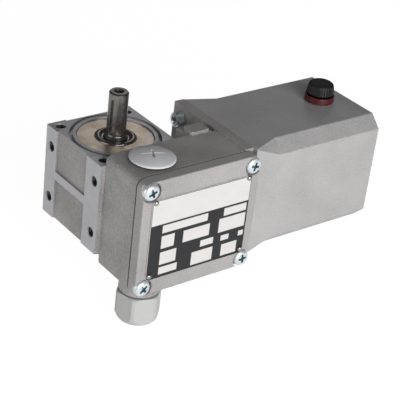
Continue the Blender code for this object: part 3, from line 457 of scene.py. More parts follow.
def milled_metal(name, colour, roughness=0.36, metallic=0.6, pitch=0.5 * mm):
    """Milled faces: faint slanted tool marks over a cloudy sheen."""
    look, tree, shader = start_finish(name, colour, roughness, metallic)
    marks = waves(tree, pitch, 3.0, 1.0, wave_type="BANDS", bands_direction="DIAGONAL")
    uneven = noise(tree, 1 / (4 * mm), 4.0)
    link_finish(tree, shader, tint(tree, centred(tree, uneven), colour, 0.9, 1.08),
                centred(tree, uneven, roughness - 0.08, roughness + 0.14), bump(tree, marks, 0.4, 0.008 * mm))
    return look


def speckled(name, colour, roughness, metallic, grain, cloud, tones, gloss, relief):
    """An even finish with a fine grain in its gloss and a faint cloud in its colour."""
    look, tree, shader = start_finish(name, colour, roughness, metallic)
    fine = noise(tree, 1 / grain, 2.0)
    broad = centred(tree, noise(tree, 1 / cloud, 2.0))
    link_finish(tree, shader, tint(tree, broad, colour, *tones),
                centred(tree, fine, roughness - 0.05, roughness + gloss), bump(tree, fine, *relief))
    return look


def plain_metal(name, colour, roughness=0.25, metallic=1.0, grain=0.6 * mm):
    """Plated or ground metal."""
    return speckled(name, colour, roughness, metallic, grain, 5 * mm, (0.92, 1.06), 0.08, (0.15, 0.01 * mm))


def moulded(name, colour, roughness=0.4, grain=0.35 * mm, depth=0.01 * mm, contrast=0.04):
    """Moulded plastic or rubber."""
    tones = (1 - contrast, 1 + contrast)
    return speckled(name, colour, roughness, 0.0, grain, 9 * mm, tones, 0.06, (0.3, depth))


# Gear case

def tapped_hole(name, at, depth=6.2 * mm):
    """A cutter for a threaded hole: a countersink, then a row of thread grooves."""
    radius, mouth, pitch, groove = 2.1 * mm, 2.55 * mm, 0.8 * mm, 0.15 * mm
    height = radius - mouth
    profile = [(0, beyond), (mouth, beyond), (mouth, 0), (radius + groove, height)]
    while height - pitch > -depth:
        profile += [(radius - groove, height - pitch / 2), (radius + groove, height - pitch)]
        height -= pitch
    profile += [(radius - groove, -depth), (0, -depth - radius / 2)]
    return turned(name, profile, at, steps=32)


def casting_body():
    """The outer forms of the casting, joined."""
    case = block("casting", (-half, half), (-half, half), (0, case_top))
    terminal_box = block("terminal_box", (box_left, mouth_x), (box_front, -half + 0.1 * mm),
                         (box_bottom, box_top), rounding=[(1, lambda centre: centre.x < 0, box_corner)])
    flange = block("flange", (mouth_x - flange_width, mouth_x), (box_front, housing_high.y),
                   (housing_low.z, housing_high.z))
    neck = block("neck", (24.0 * mm, mouth_x - 4.0 * mm), (-24.4 * mm, -13.0 * mm),
                 (-4.0 * mm, box_top - 0.8 * mm))
    pad = block("pad", (24.8 * mm, 34.6 * mm), (-23.5 * mm, -16.5 * mm), (box_top - 2.0 * mm, case_high.z),
                rounding=[(2, lambda centre: centre.x < 30 * mm, 1.5 * mm)])
    join(case, terminal_box, flange, neck, pad)
    cut(case, block("cavity", (box_left + box_wall, mouth_x - flange_width), (box_front - beyond, -24.5 * mm),
                    (box_bottom + box_wall, box_top - box_wall)))
    tunnel = rod("tunnel", 12.0 * mm, box_left + 0.5 * mm, mouth_x - 1.0 * mm, motor_axis, 64)
    pedestal = block("pedestal", (4.0 * mm, 30.0 * mm), (-33.0 * mm, motor_y), (17.0 * mm, 28.0 * mm))
    boss = rod("boss", 9.6 * mm, case_low.z, box_bottom + 1.0 * mm, gland_axis)
    cut(boss, block("cover_space", (box_left, mouth_x), (box_front - 4 * beyond, box_front),
                    (box_bottom - 0.6 * mm, box_top)))
    posts = [rod("post_" + screw, post_radius, -12.0 * mm, 0, facing_front(screw, box_front), 32)
             for screw in cover_screws]
    return join(case, tunnel, pedestal, boss, *posts)


def casting_hollows():
    """Cutters for the bores, seats and holes of the casting."""
    mouth, disc_foot, groove_foot = case_top + beyond, disc_high.z - 3.7 * mm, case_top - 1.8 * mm
    chamber = turned("chamber", [(0, mouth), (disc_seat, mouth), (disc_seat, disc_foot), (16.5 * mm, disc_foot)]
                     + above(0, (16.5, 10.6), (11.25, 10.6), (11.25, 3.7), (0, 3.7)))
    groove = turned("groove", [(rim_outside, mouth), (rim_outside, groove_foot), (rim_inside, groove_foot),
                               (rim_inside, mouth)], ring=True)
    front_bearing = middle("front_motor_bearing").x - 3.8 * mm
    worm_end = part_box("worm_end_bearing")[0].x - fit
    tunnel = above(mouth_x + beyond, (0, 0), (9.75, 0)) + above(front_bearing, (9.75, 0)) + [
        (bearing_seat, front_bearing), (bearing_seat, worm_end), (0, worm_end)]
    tunnel_hole = turned("tunnel_hole", tunnel, motor_axis, 64)
    slot = block("slot", (36.6 * mm, 38.1 * mm), (-23.9 * mm, -14.2 * mm), (45.5 * mm, case_high.z + beyond))
    plug_hole = rod("plug_hole", plug_thread + thread_slack, box_top - 5 * mm, box_top + beyond, plug_axis)
    gland_hole = rod("gland_hole", gland_thread + thread_slack, case_low.z - beyond, box_bottom + 3.5 * mm,
                     gland_axis)
    tools = [chamber, groove, tunnel_hole, slot, plug_hole, gland_hole]
    for x in (-mount_offset, mount_offset):
        for y in (-mount_offset, mount_offset):
            tools.append(tapped_hole(f"top_{x:.3f}_{y:.3f}", place(x, y, case_top)))
            tools.append(tapped_hole(f"foot_{x:.3f}_{y:.3f}", place(x, y, 0, against_z)))
        for z in (case_top / 2 - mount_rise, case_top / 2 + mount_rise):
            tools.append(tapped_hole(f"side_{x:.3f}_{z:.3f}", place(-half, x, z, against_x), 5.0 * mm))
    for screw in flange_screws:
        tools.append(rod("bolt_" + screw, screw_way, mouth_x - 6 * mm, mouth_x + beyond,
                         beside_motor(screw), 32))
    for screw in cover_screws:
        tools.append(rod("tap_" + screw, screw_way, -6.5 * mm, beyond, facing_front(screw, box_front), 32))
    return tools


def casting_panels():
    """Cutters for the recessed panels, two to a face with a rib between."""
    depth, rib, centre = sizes().panel_depth, 2.05 * mm, case_top / 2
    tools = []
    for level, z in (("upper", (centre + rib, case_top + beyond)), ("lower", (-beyond, centre - rib))):
        tools.append(block(f"side_{level}", (-half - beyond, -half + depth), (-11.2 * mm, 13.5 * mm), z))
        tools.append(block(f"rear_{level}", (-12.7 * mm, 12.7 * mm), (half - depth, half + beyond), z))
    return tools


def in_mounting_hole(centre):
    """Whether a point lies in a tapped hole of the top, foot or side face."""
    reach = 2.3 * mm
    upright = math.hypot(abs(centre.x) - mount_offset, abs(centre.y) - mount_offset)
    across = math.hypot(abs(centre.y) - mount_offset, abs(centre.z - case_top / 2) - mount_rise)
    in_case = -half < centre.x < half and -half < centre.y < half and 0 < centre.z < case_top
    return in_case and (upright < reach or (across < reach and centre.x < 6 * mm - half))


def machined_faces(case):
    """Gives the milled pads and the disc's seat a bright finish, and paints shade into the mounting holes with
    a dark one.
    """
    case.data.materials.append(milled_metal("machined_aluminium", colours().machined))
    # The dark thread colour is painted shade for the inside of the mounting holes.
    case.data.materials.append(plain_metal("thread_painted_shade", (0.10, 0.10, 0.105), 0.3))
    near = 0.02 * mm
    for face in case.data.polygons:
        centre, normal = face.center, face.normal
        pad = normal.x < -0.9 and centre.x < near - half or normal.y > 0.9 and abs(centre.y - half) < near
        seat = centre.xy.length < rim_outside + 0.1 * mm and centre.z > 40 * mm
        # Faces in the mounting holes take the dark material, painted shade in the holes.
        if in_mounting_hole(centre):
            face.material_index = 2
        elif pad or seat:
            face.material_index = 1


class GEARMOTOR_OT_casting(bpy.types.Operator):
    """Builds the gear case casting with its terminal box, flange and gland boss"""

    bl_idname = "gearmotor.casting"
    bl_label = "Casting"

    def execute(self, context):
        case = casting_body()
        cut(case, *casting_panels())
        cut(case, *casting_hollows())
        look = blasted_metal("cast_aluminium", colours().casting)
        piece(case, "base", look, ["gear_case"], sizes().cast_edge)
        machined_faces(case)
        return {"FINISHED"}


# Output shaft

class GEARMOTOR_OT_shaft(bpy.types.Operator):
    """Builds the bearing cover, the shaft seal and the keyed output shaft"""

    bl_idname = "gearmotor.shaft"
    bl_label = "Output Shaft"

    def execute(self, context):
        self.disc()
        self.seal()
        self.shaft()
        return {"FINISHED"}

    def disc(self):
        top, foot, shelf = disc_high.z, disc_low.z, middle("upper_output_bearing").z + 3.3 * mm
        profile = (above(top, (17.6, 0), (17.6, -3.4), (14.6, -3.4)) + above(foot, (14.6, 0), (12.25, 0))
                   + above(shelf, (12.25, 0), (9.6, 0)) + above(top, (9.6, 0)))
        disc = turned("bearing_disc", rounded(profile, sizes().machined_edge * 1.6), ring=True)
        look = turned_metal("turned_disc", colours().disc, 0.45 * mm, 0.4, 0.95)
        piece(disc, "base", look, ["bearing_cover"])

    def seal(self):
        """A round bead about a shallow dish, with the gloss of oil."""
        low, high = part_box("shaft_seal")
        profile = above(low.z, (5.75, 0), (9.35, 0)) + above(high.z, (9.35, -1.3))
        for step in range(9):
            angle = math.radians(-20 + 20 * step)
            profile += above(high.z, (8.05 + 1.2 * math.cos(angle), math.sin(angle) - 1))
        profile += above(high.z, (6.5, -0.95), (6.1, -0.95), (5.75, -0.95))
        seal = turned("shaft_seal_lip", profile, ring=True)
        look = plain_metal("oiled_seal", (0.34, 0.31, 0.29), 0.2, 0.95)
        piece(seal, "base", look, ["shaft_seal"], sharp=math.radians(60))

    def shaft(self):
        end, ledge, radius, wheel_seat = shaft_high.z, case_top + 1.0 * mm, 4.5 * mm, 6.5 * mm
        centre_hole = above(end, (0, -10), (1.7, -9), (1.7, -0.8), (2.3, -0.15), (2.4, 0))
        outer = [(radius - 0.6 * mm, end), (radius, end - 0.6 * mm)] + above(
            ledge, (4.5, 0.4), (4.6, 0), (4.85, -0.35), (5.3, -0.7), (5.5, -1.0))
        seats = above(0, (5.5, 40.5), (6.0, 40.2), (6.0, 33.9), (7.6, 33.9), (7.6, 31.8), (6.5, 31.8))
        ring_groove = above(middle("retaining_ring").z, (6.5, 0.7), (5.7, 0.7), (5.7, -0.7), (6.5, -0.7))
        journal = above(0, (6.5, 10.3), (5.0, 10.3)) + above(shaft_low.z, (5.0, 0), (0, 0))
        shaft = turned("shaft_steel", centre_hole + outer + seats + ring_groove + journal)
        facing = Matrix.Rotation(math.radians(-151.0), 4, "Z")
        keyway = block("keyway", (radius - 1.6 * mm, radius + beyond), (-1.5 * mm, 1.5 * mm),
                       (ledge + 0.3 * mm, end - 2.8 * mm), facing, rounding=[(0, every, 1.48 * mm)])
        key_low, key_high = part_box("wheel_key")
        slack = 0.25 * mm
        key_slot = block("key_slot", (key_low.x - slack, wheel_seat + beyond), (-2.2 * mm, 2.2 * mm),
                         (key_low.z - slack, key_high.z + slack))
        cut(shaft, keyway, key_slot)
        look = turned_metal("ground_shaft", colours().shaft, 0.2 * mm, 0.26, 0.9, 0.004 * mm)
        piece(shaft, "output", look, ["output_shaft"], sizes().machined_edge * 0.8)


# Terminal cover and nameplate

class GEARMOTOR_OT_cover(bpy.types.Operator):
    """Builds the terminal cover with its screw pockets, and the gasket behind it"""

    bl_idname = "gearmotor.cover"
    bl_label = "Terminal Cover"

    def execute(self, context):
        self.cover()
        self.gasket()
        return {"FINISHED"}

    def cover(self):
        front, wall = cover_low.y, 2.6 * mm
        cover = sheet("cover_casting", cover_low, cover_high, box_corner)
        bm = bmesh.new()
        bm.from_mesh(cover.data)
        rim = [edge for edge in bm.edges if all(corner.co.y < front + 0.1 * mm for corner in edge.verts)]
        bmesh.ops.bevel(bm, geom=rim, offset=0.7 * mm, segments=5, profile=0.5, affect="EDGES", material=-1)
        bm.to_mesh(cover.data)
        bm.free()
        hollow = block("hollow", (cover_low.x + wall, cover_high.x - wall),
                       (front + wall, cover_high.y + beyond), (cover_low.z + wall, cover_high.z - wall))
        end = front - cover_high.y - beyond
        pocket = above(beyond, (0, 0), (4.8, 0)) + above(0, (4.8, -2.2), (4.6, -2.4), (2.25, -2.4)) + [
            (screw_way, end), (0, end)]
        posts, holes = [], []
        for screw in cover_screws:
            at = facing_front(screw, front)
            posts.append(rod("around_" + screw, 6.0 * mm, end - beyond, 0, at, 48))
            holes.append(turned("pocket_" + screw, pocket, at, 64))
        cut(hollow, *posts)
        for rivet in rivets:
            holes.append(rod("hole_" + rivet, rivet_hole, -2.0 * mm, beyond, facing_front(rivet, front), 16))
        cut(cover, hollow)
        cut(cover, *holes)
        look = blasted_metal("cover_aluminium", shade(colours().casting, 1.08), contrast=0.24)
        piece(cover, "base", look, ["terminal_cover"], 0.15 * mm)

    def gasket(self):
        gasket = sheet("gasket_sheet", gasket_low, gasket_high, box_corner)
        inside = block("inside", (box_left + box_wall, mouth_x - flange_width),
                       (cover_low.y, cover_high.y + 2 * beyond), (box_bottom + box_wall, box_top - box_wall))
        ears, holes = [], []
        for screw in cover_screws:
            at = facing_front(screw, box_front)
            ears.append(rod("ear_" + screw, post_radius, -3 * beyond, 3 * beyond, at, 32))
            holes.append(rod("hole_" + screw, screw_way, -beyond, beyond, at, 24))
        cut(inside, *ears)
        cut(gasket, inside, *holes)
        look = moulded("gasket_rubber", (0.012, 0.012, 0.012), 0.6)
        piece(gasket, "base", look, ["cover_gasket"])


# Fields of the nameplate: left, right, bottom and top, in millimetres on the cover
plate_fields = [(-8.7, 15.9, 23.7, 27.6), (24.9, 37.6, 23.6, 27.5), (-8.7, -1.7, 15.8, 22.2),
                (3.1, 17.6, 15.8, 21.9), (22.8, 37.7, 15.3, 22.5), (-8.7, 0.1, 7.5, 14.0),
                (13.3, 20.5, 10.7, 14.0), (24.8, 29.4, 10.6, 13.4), (34.8, 37.7, 10.6, 13.2),
                (9.0, 20.8, 2.1, 8.9), (25.8, 34.6, 2.3, 8.4), (-8.7, 1.3, 2.5, 6.2)]


class GEARMOTOR_OT_nameplate(bpy.types.Operator):
    """Builds the nameplate with empty printed fields, and its rivets"""

    bl_idname = "gearmotor.nameplate"
    bl_label = "Nameplate"

    def execute(self, context):
        self.plate()
        self.ink()
        look = plain_metal("rivet_steel", (0.42, 0.39, 0.37), 0.14)
        for number, node in enumerate(rivets, 1):
            self.rivet(number, node, look)
        return {"FINISHED"}

    def plate(self):
        plate = sheet("plate", plate_low, plate_high, 2.0 * mm)
        cut(plate, *[rod("hole_" + rivet, rivet_hole, -beyond, beyond, facing_front(rivet, plate_high.y), 16)
                     for rivet in rivets])
        look = moulded("plate_white", colours().plate, 0.35, contrast=0.02)
        piece(plate, "base", look, ["nameplate"], 0.06 * mm)

    def ink(self):
        """A thin black skin with a window for the header and one for each field."""
        front, skin, margin, line, header_foot = plate_low.y, 0.02 * mm, 0.12 * mm, 0.25 * mm, 28.5 * mm
        left, right = plate_low.x + margin, plate_high.x - margin
        foot, top = plate_low.z + margin, plate_high.z - margin
        ink = sheet("plate_print", (left, front - skin, foot), (right, front + 0.1 * mm, top), 1.9 * mm)
        across = (front - beyond, front + beyond)
        windows = [block("header", (left + line, right - line), across, (header_foot, top - line),
                         rounding=[(1, lambda centre: centre.z > header_foot + 5 * mm, 1.6 * mm)])]
        for number, field in enumerate(plate_fields):
            limits = [limit * mm for limit in field]
            windows.append(block(f"window_{number}", limits[:2], across, limits[2:]))
        cut(ink, *windows)
        piece(ink, "base", moulded("plate_ink", colours().print_black, 0.35))

    def rivet(self, number, node, look):
        low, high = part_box(node)
        seat = plate_low.y - 0.1 * mm
        profile = (above(seat - low.y, (0, 0), (0.4, -0.02), (0.8, -0.15), (1.1, -0.4))
                   + above(0, (1.3, 0.15), (1.3, 0), (0.5, 0)) + above(seat - high.y, (0.5, 0), (0, 0)))
        rivet = turned(f"rivet_{number}", profile, facing_front(node, seat), 32)
        piece(rivet, "base", look, [node], sharp=math.radians(60))


# Screws

class GEARMOTOR_OT_screws(bpy.types.Operator):
    """Builds the cover screws with cross recesses, and the flange screws with knurled heads"""

    bl_idname = "gearmotor.screws"
    bl_label = "Screws"

    def execute(self, context):
        zinc = plain_metal("screw_zinc", colours().screw, 0.3, 0.55)
        # A dark teal copy of the zinc: painted shade for the cross recesses.
        painted_recess_shade = plain_metal("recess_painted_shade", (0.13, 0.25, 0.29), 0.4, 0.6)
        for number, node in enumerate(cover_screws):
            self.pan_screw(number, node, zinc, painted_recess_shade)
        # The screw zinc made lighter by 1.15: painted light on the flange screws.
        bright = plain_metal("cap_screw_painted_light", shade(colours().screw, 1.15), 0.2, 0.95)
        for number, node in enumerate(flange_screws):
            self.cap_screw(number, node, bright)
        return {"FINISHED"}

    def pan_screw(self, number, node, zinc, painted_recess_shade):
        low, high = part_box(node)
        tall = 3.1 * mm
        seat = low.y + tall
        at = facing_front(node, seat)
        crown = above(tall, (0, 0), (1.8, -0.05), (2.8, -0.2), (3.4, -0.5), (3.8, -1.0), (3.97, -1.6),
                      (4.0, -2.2))
        profile = crown + above(0, (3.95, 0), (2.0, 0)) + above(seat - high.y, (2.0, 0), (0, 0))
        head = turned(f"pan_screw_{number + 1}", profile, at, 64)
        arm, width = 1.6 * mm, 0.4 * mm
        outline = [(-arm, -width), (arm, -width), (arm, width), (-arm, width)]
        tools = []
        for bar in range(2):
            spin = Matrix.Rotation(math.radians(20 + 55 * number) + bar * math.pi / 2, 4, "Z")
            tools.append(prism(f"recess_{number}_{bar}", outline, 0.8 * mm, tall, at @ spin, 1.38))
        hub = above(tall + beyond, (0, 0), (1.15, 0)) + above(0, (1.05, 1.6), (0, 0.6))
        tools.append(turned(f"recess_middle_{number}", hub, at, 16))
        cut(head, *tools)
        piece(head, "base", zinc, [node], 0.06 * mm, sharp=math.radians(40))
        head.data.materials.append(painted_recess_shade)
        # Faces inside the cross recess take the dark teal material, painted shade in the recess.
        centre = middle(node)
        for face in head.data.polygons:
            inward = math.hypot(face.center.x - centre.x, face.center.z - centre.z)
            if inward < 2.4 * mm and face.normal.y > -0.98 and low.y + 0.25 * mm < face.center.y < seat:
                face.material_index = 1

    def cap_screw(self, number, node, zinc):
        low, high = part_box(node)
        centre = middle(node)
        tall, teeth = 4.0 * mm, 72
        seat = low.x + tall
        at = place(seat, centre.y, centre.z, against_x)
        knurl = [on_circle(3.5 * mm - (0.14 * mm if tooth % 2 else 0), tooth * math.tau / teeth)
                 for tooth in range(teeth)]
        head = prism(f"cap_screw_{number + 1}", knurl, 0, tall, at)
        envelope = above(0, (0, 4.0), (2.9, 4.0), (3.2, 3.9), (3.6, 3.4), (3.6, 0.2), (3.3, 0), (0, 0))
        trim(head, turned("envelope", envelope, at, 64))
        join(head, rod("shank", screw_radius, seat - high.x, 0.5 * mm, at, 32))
        socket = prism("socket", hexagon(3.0 * mm), 2.0 * mm, tall + beyond, at)
        mouth = above(tall + beyond, (0, 0), (1.9, 0)) + above(0, (1.9, 4.0), (1.45, 3.7), (0, 3.7))
        cut(head, socket, turned("mouth", mouth, at, 48))
        piece(head, "base", zinc, [node], sharp=math.radians(25))


# Motor

def chamfered_square(reach, chamfer):
    inner = reach - chamfer
    return [(reach, inner), (inner, reach), (-inner, reach), (-reach, inner),
            (-reach, -inner), (-inner, -reach), (inner, -reach), (reach, -inner)]


class GEARMOTOR_OT_housing(bpy.types.Operator):
    """Builds the motor housing, square at the flange and chamfered beyond"""

    bl_idname = "gearmotor.housing"
    bl_label = "Motor Housing"

    def execute(self, context):
        start, end = housing_low.x, housing_high.x
        chamfer = sizes().housing_chamfer
        bm = bmesh.new()
        loops = []
        for x, width in ((start, 0.4 * mm), (start + 14.8 * mm, chamfer), (end, chamfer)):
            corners = [bm.verts.new((x, motor_y + across, motor_z + up))
                       for across, up in chamfered_square(housing_half, width)]
            loops.append([bm.edges.new((corners[side], corners[(side + 1) % 8])) for side in range(8)])
        for first, second in zip(loops, loops[1:]):
            bmesh.ops.bridge_loops(bm, edges=first + second)
        for loop in (loops[0], loops[-1]):
            bmesh.ops.contextual_create(bm, geom=loop)
        bmesh.ops.recalc_face_normals(bm, faces=bm.faces)
        along = [edge for edge in bm.edges if all(corner.co.x > start + 5 * mm for corner in edge.verts)
                 and abs(edge.verts[0].co.x - edge.verts[1].co.x) > 1 * mm]
        across = [edge for edge in bm.edges if all(corner.co.x > end - 1 * mm for corner in edge.verts)]
        bmesh.ops.bevel(bm, geom=along + across, offset=sizes().housing_edge, segments=4, profile=0.5,
                        affect="EDGES", material=-1)
        housing = form("housing", bm)
        bearing_low, bearing_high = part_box("rear_motor_bearing")
        bore_end, seat_end = bearing_low.x - fit, bearing_high.x + fit
        bore = turned("bore", above(start - beyond, (0, 0), (24.0, 0)) + above(bore_end, (24.0, 0))
                      + [(bearing_seat, bore_end), (bearing_seat, seat_end), (0, seat_end)], motor_axis)
        holder_hole = rod("holder_hole", 5.45 * mm, -2 * housing_half, 3 * housing_half,
                          place(brush_x, motor_y, 0), 48)
        threads = [rod("thread_" + screw, screw_way, start - beyond, start + 9 * mm, beside_motor(screw), 24)
                   for screw in flange_screws]
        cut(housing, bore, holder_hole, *threads)
        look = blasted_metal("housing_aluminium", colours().housing, 0.8 * mm, 0.03 * mm, 0.5, 0.3, 0.22)
        piece(housing, "base", look, ["motor_housing"], 0.12 * mm)
        return {"FINISHED"}


class GEARMOTOR_OT_brush_gear(bpy.types.Operator):
    """Builds the resin brush holders and their knurled caps, above and below the housing"""

    bl_idname = "gearmotor.brush_gear"
    bl_label = "Brush Gear"

    def execute(self, context):
        resin = moulded("holder_resin", colours().holder, 0.3)
        black = moulded("cap_resin", colours().cap, 0.6)
        foot, flange = housing_half + 0.2 * mm, 3.2 * mm
        for side, turn in (("upper", Matrix.Identity(4)), ("lower", against_z)):
            at = place(brush_x, motor_y, motor_z, turn)
            self.holder(side, at, foot, flange, resin)
            self.cap(side, at, foot + flange + 0.2 * mm, black)
        return {"FINISHED"}

    def holder(self, side, at, foot, flange, resin):
        low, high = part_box(f"{side}_brush_holder")
        tube_foot = foot - (high.z - low.z - flange)
        profile = (above(foot + flange, (7.25, 0)) + above(foot, (7.25, 0), (5.2, 0))
                   + above(tube_foot, (5.2, 0), (3.9, 0)) + above(foot + flange, (3.9, 0)))
        holder = turned(f"{side}_holder", rounded(profile, 0.35 * mm, 4), at, ring=True)
        piece(holder, "base", resin, [f"{side}_brush_holder"], sharp=math.radians(45))

    def cap(self, side, at, foot, black):
        ribs, groove, top = sizes().cap_ribs, 0.38 * mm, foot + 5.7 * mm
        outline = [on_circle(6.8 * mm - depth, (rib + share) * math.tau / ribs) for rib in range(ribs)
                   for share, depth in ((0.0, 0.0), (0.35, 0.0), (0.5, groove), (0.85, groove))]
        cap = prism(f"{side}_cap", outline, foot, top, at, 6.1 / 6.8)
        trim(cap, turned("envelope", above(top, (0, 0), (4.7, 0), (5.3, -0.12), (5.85, -0.55), (6.15, -1.2))
                         + above(foot, (7.6, -1), (0, -1)), at))
        rim = turned("rim", above(foot, (0, 0.75), (6.65, 0.75), (6.8, 0.6), (6.8, 0), (0, 0)), at)
        join(cap, rim, rod("stem", 3.65 * mm, foot - 3.2 * mm, foot + 0.4 * mm, at, 48))
        piece(cap, f"{side}_cap", black, [f"{side}_brush_cap"], sharp=math.radians(28))


# Plug and gland

def rubber_ring(name, node, outside, inside, at, look, softness, segments=3):
    """A turned ring with soft corners, as tall as its CAD node."""
    low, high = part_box(node)
    profile = [(outside, high.z), (outside, low.z), (inside, low.z), (inside, high.z)]
    ring = turned(name, rounded(profile, softness, segments), at, ring=True)
    piece(ring, "base", look, [node])


class GEARMOTOR_OT_plug(bpy.types.Operator):
    """Builds the blanking plug with its coin slot, and the ring under it"""

    bl_idname = "gearmotor.plug"
    bl_label = "Blanking Plug"

    def execute(self, context):
        foot, top, flange = plug_low.z, plug_high.z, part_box("plug_seal")[1].z + 0.2 * mm
        radius = (plug_high.x - plug_low.x) / 2
        rim, dome = flange + 0.7 * mm, top - flange - 0.7 * mm
        crown = [(radius * share, rim + dome * (1 - share * share))
                 for share in (0, 0.15, 0.3, 0.45, 0.6, 0.72, 0.84, 0.93)]
        edge = [(radius - 0.25 * mm, rim), (radius, rim - 0.25 * mm), (radius, flange)]
        stem = [(plug_thread, flange), (plug_thread, foot), (0, foot)]
        plug = turned("plug_disc", crown + edge + stem, plug_axis, 128)
        facing, depth, half_width = math.radians(-20.8), 1.3 * mm, 0.5 * mm
        tools = []
        for name, length, turn in (("coin", 13.6 * mm, facing), ("cross", 7.4 * mm, facing + math.radians(85))):
            blade = (length * length / 4 + depth * depth) / (2 * depth)
            at = place(plug_x, plug_y, top - depth + blade) @ Matrix.Rotation(turn, 4, "Z") @ against_y
            tools.append(rod(name, blade, -half_width, half_width, at, 128))
        cut(plug, *tools)
        piece(plug, "plug", moulded("plug_plastic", colours().plug, 0.42), ["blanking_plug"])
        rubber_ring("plug_ring", "plug_seal", 9.4 * mm, plug_thread + thread_slack, plug_axis,
                    moulded("ring_rubber", (0.01, 0.01, 0.01), 0.5), 0.3 * mm, 4)
        return {"FINISHED"}


class GEARMOTOR_OT_gland(bpy.types.Operator):
    """Builds the cable gland: body, gasket, sealing sleeve and dome nut"""

    bl_idname = "gearmotor.gland"
    bl_label = "Cable Gland"

    def execute(self, context):
        pale = moulded("gland_plastic", colours().gland, 0.4, contrast=0.02)
        self.body(pale)
        rubber_ring("gland_ring", "gland_gasket", 9.2 * mm, gland_thread + thread_slack, gland_axis,
                    moulded("gland_ring_rubber", (0.12, 0.12, 0.118), 0.55), 0.15 * mm)
        rubber_ring("gland_seal_sleeve", "gland_sleeve", 6.15 * mm, 4.6 * mm, gland_axis,
                    moulded("sleeve_rubber", (0.02, 0.02, 0.02), 0.6), 0.3 * mm)
        self.nut(pale)
        return {"FINISHED"}

    def body(self, pale):
        top, collar, foot = gland_high.z, nut_high.z, gland_low.z
        profile = [(gland_thread, top), (gland_thread, collar)] + above(collar, (8.0, 0)) + above(
            foot, (8.0, 0), (6.4, 0), (6.4, 7), (4.6, 7)) + above(top, (4.6, 0))
        body = turned("gland_stem", rounded(profile, 0.2 * mm), gland_axis, ring=True)
        piece(body, "base", pale, ["gland_body"])

    def nut(self, pale):
        top, bottom, lip = nut_high.z, nut_low.z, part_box("gland_sleeve")[0].z - fit
        corners = [Vector(corner) for corner in hexagon(19.1 * mm, math.radians(43.1))]
        ridged = []
        for number, corner in enumerate(corners):
            before, after = corners[number - 1], corners[(number + 1) % 6]
            ridged += [corner.lerp(before, 0.06), corner.lerp(after, 0.06)]
        nut = prism("dome_nut", ridged, bottom, top, gland_axis)
        dome = above(top, (0, 0), (9.9, 0), (10.6, -0.5)) + above(
            bottom, (10.6, 4.0), (10.2, 2.8), (9.6, 1.5), (8.8, 0.5), (7.8, 0), (0, 0))
        trim(nut, turned("envelope", dome, gland_axis, 128))
        bore = (above(top + beyond, (0, 0), (8.25, 0)) + above(lip, (8.25, 0), (5.0, 0))
                + above(bottom, (5.0, 0.6), (5.6, 0)) + above(bottom - beyond, (5.6, 0), (0, 0)))
        cut(nut, turned("bore", bore, gland_axis))
        piece(nut, "gland_clamp_nut", pale, ["gland_nut"], 0.08 * mm, sharp=math.radians(20))


# Inner pieces, which keep their CAD meshes

class GEARMOTOR_OT_inner_works(bpy.types.Operator):
    """Gives the pieces inside the motor and the gear case their finishes"""

    bl_idname = "gearmotor.inner_works"
    bl_label = "Inner Works"

    def execute(self, context):
        steel = plain_metal("machined_steel", (0.45, 0.45, 0.46), 0.28)
        bronze = plain_metal("worm_wheel_bronze", (0.50, 0.33, 0.17), 0.32)
        copper = plain_metal("wound_copper", (0.55, 0.22, 0.11), 0.35, 1.0, 0.3 * mm)
        ferrite = moulded("magnet_ferrite", (0.04, 0.04, 0.042), 0.55)
        carbon = moulded("brush_carbon", (0.03, 0.03, 0.032), 0.45)
        black = moulded("terminal_resin", (0.02, 0.02, 0.02), 0.4)
        zinc = plain_metal("terminal_zinc", colours().screw, 0.25)
        finishes = {
            "worm_wheel": bronze, "commutator": copper, "front_end_winding": copper, "rear_end_winding": copper,
            "front_magnet": ferrite, "back_magnet": ferrite, "upper_brush": carbon, "lower_brush": carbon,
            "terminal_block": black, "terminal_screw_1": zinc, "terminal_screw_2": zinc,
        }
        for name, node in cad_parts.items():
            if node.hide_render:
                continue
            node.data.materials.clear()
            node.data.materials.append(finishes.get(name, steel))
        return {"FINISHED"}


# Stage

